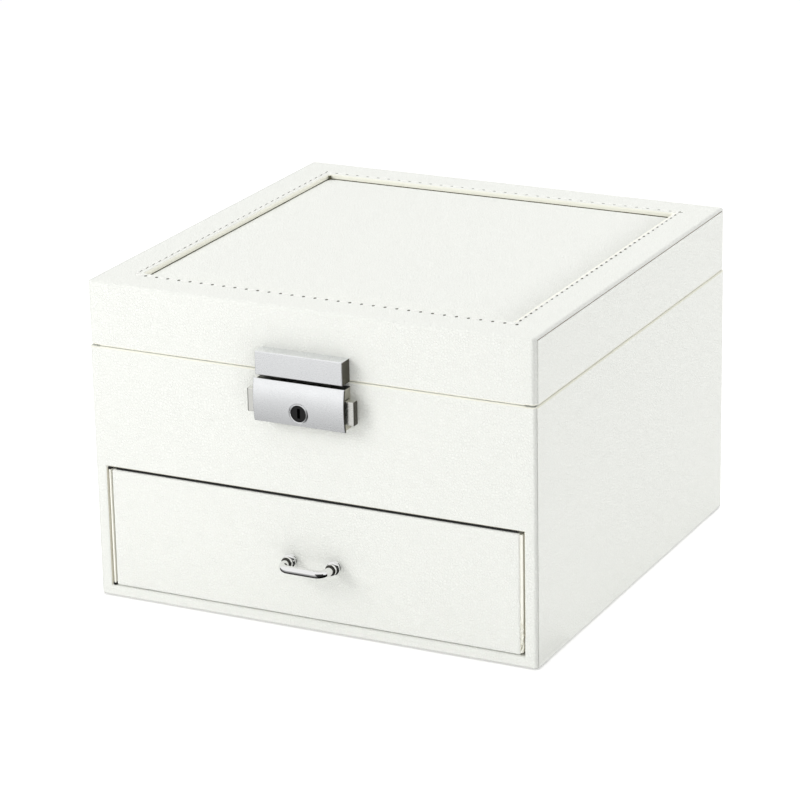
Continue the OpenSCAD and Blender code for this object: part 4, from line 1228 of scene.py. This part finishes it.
def lined(hold: Span, wall: float, open_way: int, coved: float = 1.2) -> Form:
    """An open lining with soft inner corners.

    Args:
        hold: The room inside.
        wall: The lining's thickness.
        open_way: 1 where it opens upwards, -1 where it opens downwards.
        coved: Radius of the inner corners.

    Returns:
        The form.
    """
    mouth = hold.hi.z if open_way > 0 else hold.lo.z
    form = Form().block(hold.lo, hold.hi).drop(lambda c, n: abs(c.z - mouth) < 0.01)
    form.bevel(lambda e: not lies(e, Z, mouth), coved, 4).reverse()
    return form.mesh_cuts(6.0).ripple(0.08, 9.0, 2.0).thicken(wall)


def divider(lo: Point, hi: Point) -> Form:
    """One velvet-covered divider with a rounded top."""
    form = Form().block(lo, hi).bevel(lambda e: lies(e, Z, hi[Z]), 1.1, 4)
    return form.mesh_cuts(8.0).ripple(0.06, 7.0, lo[Y])


def velvet(form: Form, name: str, body: Body, node: str, crease: float = 40.0) -> bpy.types.Object:
    """Makes a piece in velvet."""
    return form.make(name, [VELVET], body, Slot.VELVET, [node], crease=crease)


def cross_dividers(bars: Iterable[tuple[float, float, float]], t: float, box: Span) -> Form:
    """The dividers that stand across a long one.

    Args:
        bars: Each one's first and last place along X, and its middle along Y.
        t: Their thickness.
        box: The box that gives their foot and top.

    Returns:
        The form.
    """
    form = Form()
    for left, right, y in bars:
        form.join(divider((left, y - t / 2, box.lo.z), (right, y + t / 2, box.hi.z)))
    return form


@dataclass
class RingTray:
    """The upper tray: velvet lining, dividers and ring rolls."""

    lining: float = 1.0
    divider_t: float = 3.0
    roll_gap: float = 0.5
    rolls: int = 8
    roll_pitch: float = 12.5
    roll_w: float = 12.0
    end_r: float = 2.4

    def build(self) -> None:
        """Makes the tray's pieces."""
        hold = Span.of("tray_lining").shrunk(self.lining, 1)
        velvet(lined(hold, self.lining, 1), "tray_velvet", Body.CASE, "tray_lining")
        long, box = Span.of("tray_divider"), Span.of("tray_cross_dividers")
        velvet(Form().join(divider(long.lo, long.hi)), "tray_long_divider", Body.CASE, "tray_divider")
        half = self.divider_t / 2
        bars = [(box.lo.x, long.lo.x, Span.of("ring_rolls").hi.y + self.roll_gap + half)]
        bars += [(long.hi.x, box.hi.x, side * (box.hi.y - half)) for side in (-1, 1)]
        velvet(cross_dividers(bars, self.divider_t, box), "tray_cross_velvets", Body.CASE,
               "tray_cross_dividers")
        self.roll_cushions()

    def roll_cushions(self) -> None:
        """Makes the ring rolls: foam strips with round backs, each a little different."""
        box = Span.of("ring_rolls")
        form = Form()
        for i in range(self.rolls):
            y0 = box.lo.y + i * self.roll_pitch
            part = Form().block((box.lo.x, y0, box.lo.z), (box.hi.x, y0 + self.roll_w, box.hi.z))
            part.bevel(lambda e: lies(e, Z, box.hi.z) and runs(e, X), self.roll_w / 2 - 0.1, 7)
            part.bevel(lambda e: any(lies(e, X, x) for x in (box.lo.x, box.hi.x))
                       and middle(e).z > box.lo.z + 1, self.end_r, 4)
            form.join(part.mesh_cuts(4.0).ripple(0.22, 6.5, i * 1.7))
        velvet(form, "ring_roll_cushions", Body.CASE, "ring_rolls", crease=70)


@dataclass
class CaseInside:
    """The drawer bay's lining, a black strip over the drawer that paints the shade in its gap, and the cloth
    under the base.
    """

    skin: float = 0.8
    mouth_in: float = 2.0
    shade_gap: float = 0.15
    shade_in: Point = (1.8, 0.7)
    shade_deep: float = 3.4
    shade_over: float = 0.3
    edge_in: float = 0.45
    edge_out: float = 1.0
    edge_end: float = 1.0
    edge_deep: float = 3.0
    edge_proud: float = 0.15
    web: Point = (1.8, 2.9)
    web_over: float = 0.1
    base_t: float = 0.5
    base_r: float = 4.0

    def build(self) -> None:
        """Makes the bay's covering with its ceiling in painted shade, the black blocks that paint the shade
        in the opening's gaps, the lining's edge beside the drawer, and the base cloth.
        """
        bay, front, base = Span.of("bay_lining"), Span.of("drawer_skin"), Span.of("base_sheet")
        hold = bay.shrunk(self.skin)
        hold.lo.y = bay.lo.y + self.mouth_in
        form = Form().block(hold.lo, hold.hi).drop(lambda c, n: n.y < -FLAT)
        form.bevel(lambda e: runs(e, Y), 0.5, 2).reverse().mesh_cuts(9.0).ripple(0.05, 18.0, 4.0)
        form.thicken(self.skin)
        # faces that look down and faces over the bay's top take painted shade
        form.tint(lambda c, n: n.z < -0.5 or c.z > hold.hi.z, 1)
        form.make("bay_covering", [COVER_PAPER, BAY_CEILING_SHADE], Body.CASE, Slot.COVERED_BOARD, ["bay_lining"])
        x, y, low, high = hold.lo.x, front.lo.y, hold.lo.z + self.edge_end, hold.hi.z - self.edge_end
        # black blocks over the drawer's top gap and at the opening's left corners: painted shade
        form = Form().block((front.lo.x + self.shade_in[0], y, front.hi.z + self.shade_gap),
                            (front.hi.x - self.shade_in[1], y + self.shade_deep, hold.hi.z + self.shade_over))
        form.bevel(lambda e: runs(e, X), 0.1, 2).mesh_cuts(9.0)
        for z in (hold.lo.z, high):
            form.block((x, y, z), (x + self.edge_out, y + self.edge_deep, z + self.edge_end))
        form.make("opening_gap_shade", [GAP_SHADE], Body.CASE, Slot.BASE_CLOTH)
        form = Form().block((x + self.edge_in, y - self.edge_proud, low),
                            (x + self.edge_out, y + self.edge_deep, high))
        form.block((x - self.web_over, y + self.web[0], low),
                   (x + self.edge_in + self.web_over, y + self.web[1], high))
        form.bevel(lambda e: runs(e, Z), 0.1, 2).mesh_cuts(4.0).ripple(0.05, 9.0, 3.0)
        # its brightened cream is partly painted light in the gap
        form.make("opening_lining_edge", [LEATHER_EDGE_PAINTED_LIGHT], Body.CASE, Slot.COVERED_BOARD)
        form = Form().block(base.lo, (base.hi.x, base.hi.y, base.lo.z + self.base_t))
        form.bevel(lambda e: runs(e, Z), self.base_r, 5).bevel(lambda e: lies(e, Z, base.lo.z), 0.2, 2)
        form.mesh_cuts(9.0).make("base_cloth", [BASE_CLOTH], Body.CASE, Slot.BASE_CLOTH, ["base_sheet"])


@dataclass
class LidInside:
    """The lid's velvet and its framed mirror."""

    lining: float = 1.0
    glass_lip: float = 1.0
    rim_r: float = 0.9
    glass_bevel: float = 0.5

    def build(self) -> None:
        """Makes the lining, the frame and the glass."""
        hold = Span.of("lid_lining").shrunk(self.lining, -1)
        velvet(lined(hold, self.lining, -1), "lid_velvet", Body.LID, "lid_lining")
        rim, glass = Span.of("mirror_frame"), Span.of("mirror")
        x, y = glass.hi.x - self.glass_lip, glass.hi.y - self.glass_lip
        form = Form().block(rim.lo, rim.hi).cut(X, -x, x).cut(Y, -y, y)
        form.drop(lambda c, n: abs(n.z) > FLAT and abs(c.x) < x and abs(c.y) < y)
        bmesh.ops.bridge_loops(form.bm, edges=form.open_edges())
        form.outward().bevel(lambda e: lies(e, Z, rim.lo.z)
                             and any(abs(f.normal.z) < 0.5 for f in e.link_faces), self.rim_r, 4)
        form.mesh_cuts(7.0).ripple(0.05, 8.0, 6.0)
        form.make("mirror_rim", [MIRROR_RIM], Body.LID, Slot.MIRROR_RIM, ["mirror_frame"])
        form = Form().block(glass.lo, glass.hi).bevel(lambda e: lies(e, Z, glass.lo.z), self.glass_bevel, 1)
        form.make("mirror_plate", [MIRROR], Body.LID, Slot.MIRROR_GLASS, ["mirror"], crease=10)


# ---- drawer and handle


@dataclass
class Drawer:
    """The drawer: covered front, covered box, velvet and dividers."""

    skin: float = 0.8
    turn: float = 8.8
    edge_r: float = 0.7
    forward: float = 0.2
    fold_out: float = 1.05
    fold_back: float = 0.3
    fold_deep: float = 3.0
    fold_ends: Point = (0.9, 0.5)
    pleats: float = 17.0
    pleat_size: float = 1.6
    pleat_reach: Point = (0.25, 2.4, 0)
    wall: float = 2.6
    lining: float = 1.0
    divider_t: float = 3.0

    def build(self) -> None:
        """Makes the drawer's pieces."""
        self.front()
        self.folded_edge()
        self.box()
        lining, sides = Span.of("drawer_lining"), Span.of("drawer_left_side")
        hold = Span(Vector((lining.lo.x, sides.lo.y, sides.lo.z)),
                    Vector((lining.hi.x, lining.hi.y, sides.hi.z))).shrunk(self.lining, 1)
        velvet(lined(hold, self.lining, 1), "drawer_velvet", Body.DRAWER, "drawer_lining")
        long, cross = Span.of("drawer_divider"), Span.of("drawer_cross_dividers")
        velvet(Form().join(divider(long.lo, long.hi)), "drawer_long_divider", Body.DRAWER, "drawer_divider")
        half = self.divider_t / 2
        bars = [(cross.lo.x, long.lo.x, hold.mid.y)]
        bars += [(long.hi.x, cross.hi.x, y) for y in (cross.lo.y + half, cross.hi.y - half)]
        velvet(cross_dividers(bars, self.divider_t, cross), "drawer_cross_velvets", Body.DRAWER,
               "drawer_cross_dividers")

    def front(self) -> None:
        """Makes the front's sheet: round all four edges and turned in behind."""
        box = Span.of("drawer_skin")
        x, low, high = box.hi.x - self.turn, box.lo.z + self.turn, box.hi.z - self.turn
        form = Form().block(box.lo - Vector((0, self.forward, 0)), box.hi)
        form.bevel(lambda e: True, self.edge_r, 4).cut(X, -x, x).cut(Z, low, high)
        form.drop(lambda c, n: n.y > FLAT and abs(c.x) < x and low < c.z < high)
        form.mesh_cuts(7.0).ripple(0.06, 20.0, 9.0).thicken(self.skin)
        # the front's sides take the brightened cream: painted light in the gaps beside the drawer
        form.tint(lambda c, n: abs(n.x) > 0.7 and c.y > box.lo.y + 0.3, 1)
        form.make("drawer_front_cloth", [LEATHER, LEATHER_EDGE_PAINTED_LIGHT], Body.DRAWER, Slot.LEATHERCLOTH,
                  ["drawer_skin"], soft=0.1)

    def folded_edge(self) -> None:
        """Makes the fold of cloth that stands out at the front's right side, pleated towards its foot."""
        box = Span.of("drawer_skin")
        low, high = box.lo.z + self.fold_ends[0], box.hi.z - self.fold_ends[1]
        form = Form().block((box.hi.x - 0.1, box.lo.y + self.fold_back, low),
                            (box.hi.x + self.fold_out, box.lo.y + self.fold_deep, high))
        form.bevel(lambda e: runs(e, Z), 0.2).mesh_cuts(0.5)
        for v in form.bm.verts:
            foot = max(0.0, 1 - (v.co.z - box.lo.z) / self.pleats)
            at = Vector((v.co.x * self.pleat_size, v.co.y, v.co.z / self.pleat_size))
            v.co += Vector(self.pleat_reach) * foot * noise.noise(at)
        # its brightened cream is partly painted light in the gap
        form.make("drawer_folded_edge", [LEATHER_EDGE_PAINTED_LIGHT], Body.DRAWER, Slot.LEATHERCLOTH)

    def box(self) -> None:
        """Makes the covered sides, back and bottom as one open box with rounded rims."""
        side, wall = Span.of("drawer_left_side", "drawer_right_side"), self.wall
        form = Form().block(side.lo + Vector((wall, 0, 0)), side.hi - Vector((wall, wall, 0)))
        form.drop(lambda c, n: n.z > FLAT or n.y < -FLAT).reverse().mesh_cuts(9.0).thicken(wall)
        form.bevel(lambda e: lies(e, Z, side.hi.z) and len(e.link_faces) == 2
                   and abs(e.link_faces[0].normal.z - e.link_faces[1].normal.z) > 0.5, 0.7)
        form.make("drawer_box_covering", [COVER_PAPER], Body.DRAWER, Slot.COVERED_BOARD,
                  ["drawer_left_side", "drawer_right_side", "drawer_back", "drawer_bottom"])


@dataclass
class Handle:
    """The drawer's bar handle on its two ringed posts; rings holds each ring edge's place and radius."""

    rod_r: float = 1.5
    bend_r: float = 3.6
    bore_r: float = 1.4
    groove_r: float = 2.0
    sides: int = 32
    rings: tuple[tuple[float, float], ...] = (
        (0.0, 1.95), (0.1, 2.2), (1.0, 2.2), (1.2, 1.85), (1.75, 1.85), (1.95, 2.3), (2.15, 2.5), (2.75, 2.5),
        (3.0, 2.25), (3.15, 1.9), (3.6, 1.9), (3.75, 2.1), (3.95, 2.2), (4.4, 2.2), (4.65, 2.05), (4.75, 1.8),
        (5.3, 1.75), (5.4, 1.65))

    def build(self) -> None:
        """Makes the bar, grown from its left end, and the rings of both posts."""
        bar = Span.of("handle_bar")
        z, base, turn = bar.mid.z, bar.hi.y, bar.lo.y + self.rod_r + self.bend_r
        posts = bar.lo.x + self.rod_r, bar.hi.x - self.rod_r
        form = Form()
        form.disc((posts[0], base, z), self.rod_r, self.sides)
        tip = self.advance(form, form.bm.faces[:][0], (0, turn - base, 0))
        tip = self.bend(form, tip, (posts[0] + self.bend_r, turn, z))
        tip = self.advance(form, tip, (posts[1] - posts[0] - 2 * self.bend_r, 0, 0))
        tip = self.bend(form, tip, (posts[1] - self.bend_r, turn, z))
        self.advance(form, tip, (0, base - turn, 0))
        form.welded().make("handle_bar_bright", [CHROME], Body.DRAWER, Slot.CHROME, ["handle_bar"])
        form = Form()
        for x in posts:
            profile = [(0.0, self.bore_r), *self.rings, (self.rings[-1][0], self.bore_r)]
            form.lathe([(base - along, r) for along, r in profile], (x, base, z), 40)
        # faces nearer a post's axis than groove_r take the painted dark reflection
        form.welded().tint(lambda c, n: min(math.hypot(c.x - x, c.z - z) for x in posts) < self.groove_r, 1)
        form.make("handle_rings_bright", [CHROME, GROOVE_SHADE], Body.DRAWER, Slot.CHROME, ["handle_collars"],
                  crease=32)

    @staticmethod
    def open_up(form: Form) -> None:
        """Deletes the old ends that lie inside the bar."""
        inner = [f for f in form.bm.faces if all(len(e.link_faces) > 2 for e in f.edges)]
        bmesh.ops.delete(form.bm, geom=inner, context="FACES_ONLY")

    @staticmethod
    def advance(form: Form, tip: bmesh.types.BMFace, by: Point) -> bmesh.types.BMFace:
        """Lengthens the bar at its growing end and gives the new end."""
        end = form.push(tip, by)
        Handle.open_up(form)
        return end

    @staticmethod
    def bend(form: Form, tip: bmesh.types.BMFace, centre: Point) -> bmesh.types.BMFace:
        """Turns the bar's growing end through a right angle and gives the new end."""
        made = bmesh.ops.spin(form.bm, geom=[tip], cent=centre, axis=(0, 0, 1), dvec=(0, 0, 0),
                              angle=HALF_TURN / 2, steps=10, use_merge=False)["geom_last"]
        Handle.open_up(form)
        return next(g for g in made if isinstance(g, bmesh.types.BMFace))


# ---- lock and hinges


@dataclass
class Lock:
    """The push-button lock: strike block on the lid; cover, bezel and key plug on the case."""

    block_r: float = 0.35
    lip: float = 0.4
    bulge: float = 0.8
    sheet: float = 0.8
    patch: float = 4.2
    patch_cells: int = 12
    out: float = 5.6
    slot: Point = (0.55, 1.8)
    slot_deep: float = 1.6
    square: float = 0.7
    cam_gap: float = 0.2

    def build(self) -> None:
        """Makes the strike block, die-cast with rounded edges, and the lock's other visible pieces."""
        box = Span.of("strike_block")
        form = Form().block(box.lo - Vector((0, 0, self.lip)), box.hi)
        # sides and underside take the painted dark reflection and shade
        form.bevel(lambda e: not lies(e, Y, box.hi.y), self.block_r).tint(self.shaded_side, 1)
        form.make("strike_block_cast", [NICKEL, NICKEL_SIDE_SHADE], Body.LID, Slot.SATIN_NICKEL, ["strike_block"])
        bezel = Span.of("key_bezel")
        self.cover(bezel)
        self.bezel_and_plug(bezel)

    @staticmethod
    def shaded_side(c: Vector, n: Vector) -> bool:
        """Whether a face is a side or an underside, which takes the painted dark reflection and shade."""
        return abs(n.x) > FLAT or n.z < -FLAT

    def cover(self, bezel: Span) -> None:
        """Makes the bulged cover with the hole for the bezel."""
        box, face = Span.of("lock_cover"), Span.of("front_skin").lo.y
        cx, cz, hole = bezel.mid.x, bezel.mid.z, bezel.size.x / 2 + 0.02
        steps = [self.patch * (2 * i / self.patch_cells - 1) for i in range(self.patch_cells + 1)]
        form = Form().plate((box.lo.x, box.lo.z, 0), (box.hi.x, box.hi.z, 0))
        form.cut(X, *[cx + step for step in steps]).cut(Y, *[cz + step for step in steps])
        form.cut(X, box.lo.x + 2.5, box.hi.x - 2.5).cut(Y, *[box.hi.z - 0.8 - i for i in range(6)])
        form.drop(lambda c, n: abs(c.x - cx) < self.patch and abs(c.y - cz) < self.patch)
        rim = [e for e in form.open_edges()
               if max(abs(middle(e).x - cx), abs(middle(e).y - cz)) < self.patch + 0.1]
        for v in form.pull(rim):
            turn = math.atan2(v.co.y - cz, v.co.x - cx)
            v.co = Vector((cx + hole * math.cos(turn), cz + hole * math.sin(turn), 0))
        form.outward()
        if sum(f.normal.z for f in form.bm.faces) < 0:
            form.reverse()
        for v in form.bm.verts:
            up = (v.co.y - box.lo.z) / box.size.z
            v.co = Vector((v.co.x, face - self.out - self.bulge * (1 - (2 * up - 1) ** 2), v.co.y))
        # sides and underside take the painted dark reflection and shade
        form.thicken(self.sheet).outward().tint(self.shaded_side, 1)
        form.make("lock_cover_pressed", [NICKEL, NICKEL_SIDE_SHADE], Body.CASE, Slot.SATIN_NICKEL, ["lock_cover"],
                  crease=30, soft=0.28)

    def bezel_and_plug(self, bezel: Span) -> None:
        """Makes the bright bezel, and the black plug with its straight key slot and its square."""
        plug, cx, cz = Span.of("key_plug"), bezel.mid.x, bezel.mid.z
        outer, inner = bezel.size.x / 2, plug.size.x / 2 + 0.05
        profile = [(bezel.hi.y, inner), (bezel.lo.y + 0.15, inner), (bezel.lo.y, inner + 0.12),
                   (bezel.lo.y, outer - 0.2), (bezel.lo.y + 0.2, outer), (bezel.hi.y, outer)]
        form = Form().lathe(profile, (cx, 0, cz), 48).welded()
        form.make("key_bezel_bright", [NICKEL], Body.CASE, Slot.CHROME, ["key_bezel"], crease=25)
        back, (half_x, half_z) = Span.of("lock_cam").lo.y - self.cam_gap, self.slot
        form = Form().rod((cx, back, cz), (cx, plug.lo.y, cz), plug.size.x / 2, plug.size.x / 2, 48)
        form.cut(X, cx - half_x, cx + half_x).cut(Z, cz - half_z, cz + half_z)
        front = form.faces(lambda c, n: n.y < -FLAT and abs(c.x - cx) < half_x and abs(c.z - cz) < half_z)[0]
        form.push(front, (0, self.slot_deep, 0))
        bmesh.ops.delete(form.bm, geom=[front], context="FACES")
        form.block((cx - self.square, back - 0.1, cz - self.square),
                   (cx + self.square, plug.hi.y, cz + self.square)).outward()
        form.make("key_plug_dark", [PLUG_BLACK], Body.KEY, Slot.CHROME, ["key_plug"], crease=30, soft=0.1)


@dataclass
class Springs:
    """The two coil springs between the lock's post and its sliders."""

    wire_r: float = 0.15
    turns: int = 5
    turn_steps: int = 16
    travel: float = 1.6
    clear: float = 0.03

    def build(self) -> None:
        """Makes each coil."""
        for side, word in ((1, "right"), (-1, "left")):
            box = Span.of(word + "_spring")
            near, length = min(abs(box.lo.x), abs(box.hi.x)) + self.clear, box.size.x - 2 * self.clear
            start = Vector((side * (near + self.wire_r), box.mid.y, box.mid.z))
            steps = self.turns * self.turn_steps
            form = Form()
            coil_r = Vector((0, 0, box.size.z / 2 - self.wire_r))
            ring = form.disc(start + coil_r, self.wire_r, 8, filled=False)
            edges = list(dict.fromkeys(e for v in ring for e in v.link_edges))
            bmesh.ops.spin(form.bm, geom=[*ring, *edges], cent=start, axis=(1, 0, 0),
                           angle=2 * HALF_TURN * self.turns, steps=steps, use_merge=False,
                           dvec=(side * (length - 2 * self.wire_r) / steps, 0, 0))
            bmesh.ops.holes_fill(form.bm, edges=form.open_edges())
            coil = form.outward().make(f"{word}_spring_coil", [STEEL], Body.CASE, Slot.LOCK_STEEL,
                                       [word + "_spring"])
            box.mid.y * MM
            box.mid.z * MM
            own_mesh(coil)


@dataclass
class ScrewHeads:
    """The heads of the hinge screws, flush in their leaves."""

    radius: float = 1.15
    shank_r: float = 0.55
    hinge_half: float = 10.5
    deep: float = 0.3
    proud: float = 0.03

    def build(self) -> None:
        """Makes the heads on the case's leaves and on the lid's."""
        for body, way in ((Body.CASE, 1), (Body.LID, -1)):
            screws, leaves = (Span.of(f"{body.value}_hinge_{part}") for part in ("screws", "leaves"))
            centre = leaves.hi.x - self.hinge_half
            apart = screws.hi.x - self.shank_r - centre
            y, top = screws.mid.y, screws.hi.z if way > 0 else screws.lo.z
            form = Form()
            for x in [side * (centre + end * apart) for side in (-1, 1) for end in (-1, 1)]:
                form.rod((x, y, top - way * self.deep), (x, y, top + way * self.proud), self.radius * 0.7,
                         self.radius, 24)
            form.make(body.value + "_hinge_screw_heads", [STEEL], body, Slot.LOCK_STEEL, soft=0.05)


@dataclass
class Dressing:
    """Finishes for the frame's own nodes that stay in view: by slot, for some by name, and softer edges."""

    finish_of: dict[Slot, Finish] = field(default_factory=lambda: {
        Slot.LEATHERCLOTH: LEATHER, Slot.BOARD: BOARD, Slot.COVERED_BOARD: COVER_PAPER,
        Slot.BASE_CLOTH: BASE_CLOTH, Slot.VELVET: VELVET, Slot.SATIN_NICKEL: NICKEL, Slot.LOCK_STEEL: STEEL,
        Slot.CHROME: CHROME, Slot.MIRROR_RIM: MIRROR_RIM, Slot.MIRROR_GLASS: MIRROR})
    # the lock case's finish paints shade over its top
    own_finish: dict[str, Finish] = field(default_factory=lambda: {
        "lock_case": NICKEL_CASE, "keeper": STEEL_DARK, "lock_cam": STEEL_DARK, "left_slider": SLIDER,
        "right_slider": SLIDER})
    edge_r: dict[str, float] = field(default_factory=lambda: {
        "lock_case": 0.2, "left_slider": 0.22, "right_slider": 0.22, "case_hinge_leaves": 0.1,
        "lid_hinge_leaves": 0.1, "keeper": 0.08})

    def build(self) -> None:
        """Gives every node its finish, and the lock's and hinges' nodes softer edges."""
        rows = frame["record"]["subparts"]
        for name, slot in [(row["node"], row["material_slot"]) for row in rows]:
            node = frame["nodes"][name]
            node.data.materials.clear()
            node.data.materials.append(self.own_finish.get(name, self.finish_of[Slot(slot)]).material())
            if name in self.edge_r:
                node.modifiers.new("joined", "WELD").merge_threshold = 1e-6
                soften(node, self.edge_r[name])
        log.info("%d nodes dressed", len(rows))


# ---- studio


@dataclass
class Studio:
    """Floor, light and camera, in metres."""

    lens: float = 155.85
    eye: Point = (0.53944, -1.08991, 0.48014)
    azimuth: float = 26.64
    elevation: float = 19.07
    roll: float = -1.153
    ambient: float = 0.70
    target: Point = (0, 0, 0.06)
    lamps: tuple[tuple[str, Point, float, float], ...] = (
        ("key", (-0.59, -0.69, 0.50), 0.42, 3.15), ("rear", (0.45, 0.5, 0.45), 0.4, 0.65),
        ("top", (0.1, 0.1, 0.9), 0.8, 2.0))
    case_front: float = 0.087
    floor_half: float = 6.0
    floor_glow: float = 0.22
    floor_lift: float = 0.05
    room_from: float = -0.05
    room_to: float = 2.7
    room_glow: float = 0.05

    def build(self) -> None:
        """Makes the studio."""
        self.look()
        self.world()
        self.floor()
        self.light()
        self.cards()

    def look(self) -> None:
        """Makes the camera at the photograph's viewpoint."""
        a, e = math.radians(self.azimuth), math.radians(self.elevation)
        ahead = Vector((-math.sin(a) * math.cos(e), math.cos(a) * math.cos(e), -math.sin(e)))
        camera = bpy.data.objects.new("camera", bpy.data.cameras.new("camera"))
        camera.data.lens, camera.data.sensor_width = self.lens, 36
        camera.rotation_mode = "QUATERNION"
        tilt = Quaternion((0, 0, 1), math.radians(self.roll))
        camera.rotation_quaternion = ahead.to_track_quat("-Z", "Y") @ tilt
        camera.location = self.eye
        bpy.context.scene.collection.objects.link(camera)
        bpy.context.scene.camera = camera
        bpy.context.scene.view_settings.view_transform = "Standard"

    @staticmethod
    def seen(recipe: Recipe) -> Wire:
        """1 for rays that come from the camera, a gloss or a glass."""
        rays = recipe.node("ShaderNodeLightPath")
        camera, gloss, glass = (recipe.out(rays, f"Is {n} Ray") for n in ("Camera", "Glossy", "Transmission"))
        return camera.most(gloss).most(glass)

    def world(self) -> None:
        """A white surround that lights the object plainly."""
        world = bpy.data.worlds.new("surround")
        bpy.context.scene.world = world
        world.use_nodes = True
        recipe = Recipe(world.node_tree)
        strength = self.seen(recipe) * (1.0 - self.ambient) + self.ambient
        light = recipe.node("ShaderNodeBackground", inputs={"Color": (1, 1, 1, 1), "Strength": strength})
        recipe.node("ShaderNodeOutputWorld", inputs={"Surface": recipe.out(light)})

    @staticmethod
    def board(name: str, wide: float, high: float, at: Point = (0, 0, 0), facing: Point = (0, 0, 1),
              cells: int = 1) -> tuple[bpy.types.Object, Recipe]:
        """Makes a flat thing of the studio.

        Args:
            name: Its name.
            wide: Its width.
            high: Its height.
            at: Its middle.
            facing: The way that it faces.
            cells: Its cells each way.

        Returns:
            The object, and the empty recipe of its material.
        """
        half = Vector((wide, high, 0)) / 2 / MM
        form = Form().plate(-half, half, cells)
        turned = Vector(facing).to_track_quat("Z", "Y").to_matrix().to_4x4()
        placing = Matrix.Translation(Vector(at) / MM) @ turned
        bmesh.ops.transform(form.bm, verts=form.bm.verts[:], matrix=placing)
        made = form.placed(name)
        material, recipe = blank_material(name)
        made.data.materials.append(material)
        return made, recipe

    def floor(self) -> None:
        """A pale floor that keeps the object's shadow and runs out to white."""
        _, recipe = self.board("floor", 2 * self.floor_half, 2 * self.floor_half, cells=4)
        matt = recipe.out(recipe.node("ShaderNodeBsdfDiffuse", inputs={"Color": (0.93, 0.93, 0.93, 1)}))
        lift = recipe.glow(self.seen(recipe) * self.floor_lift + self.floor_glow)
        recipe.end(recipe.out(recipe.node("ShaderNodeAddShader", inputs={0: matt, 1: lift})))

    def light(self) -> None:
        """A soft lamp left of the front, a weaker one high behind on the right, and a large one overhead."""
        for name, at, size, power in self.lamps:
            light = bpy.data.lights.new(name, "AREA")
            light.shape, light.size, light.energy = "SQUARE", size, power
            lamp = bpy.data.objects.new(name, light)
            lamp.location = at
            lamp.rotation_mode = "QUATERNION"
            lamp.rotation_quaternion = (Vector(self.target) - Vector(at)).to_track_quat("-Z", "Y")
            lamp.visible_glossy = False
            bpy.context.scene.collection.objects.link(lamp)

    def cards(self) -> None:
        """Cards that only reflections see: the floor, dark in front and dark near the box as a painted
        shadow, and the dark room.
        """
        low, recipe = self.board("card_low", 4.4, 2.0, (0, -1.06, 0.002))
        x, y, _ = recipe.split(recipe.spot())
        past = 0.0 - y - self.case_front
        away, slope = past.most(0.0), (x - 0.01) / (past + 0.007).most(0.001)
        room = ((slope - self.room_from) / 0.15).clamped() * ((self.room_to - slope) / 0.4).clamped()
        # painted shadow: the card goes dark close to the box
        near = ((away - 0.01) / 0.05).clamped()
        recipe.end(recipe.glow(away ** 0.32 * 1.25 * near * (1.0 - room * 0.93)))
        dark, recipe = self.board("card_room", 2.4, 0.9, (0.88, -1.69, 0.45), (-0.46, 0.887, 0))
        recipe.end(recipe.glow(self.room_glow))
        for card in (low, dark):
            card.visible_camera = card.visible_diffuse = False
            card.visible_shadow = card.visible_transmission = False


def main() -> None:
    """Builds the studio, then each sub-assembly."""
    logging.basicConfig(level=logging.INFO, format="%(name)s %(message)s")
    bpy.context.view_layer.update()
    Studio().build()
    Dressing().build()
    CaseCovering(Span.of("front_skin", "back_skin", "left_skin", "right_skin")).build()
    CaseInside().build()
    RingTray().build()
    lid, pad = Span.of("lid_wrap", "lid_left_skin", "lid_right_skin"), Span.of("lid_pad")
    LidCovering(lid).build()
    PaddedPanel(pad).build()
    Stitching(pad.hi.x + 2.7, pad.hi.y + 2.7, lid.hi.z).build()
    for part in (LidInside(), Drawer(), Handle(), Lock(), Springs(), ScrewHeads()):
        part.build()


if __name__ == "__main__":
    main()
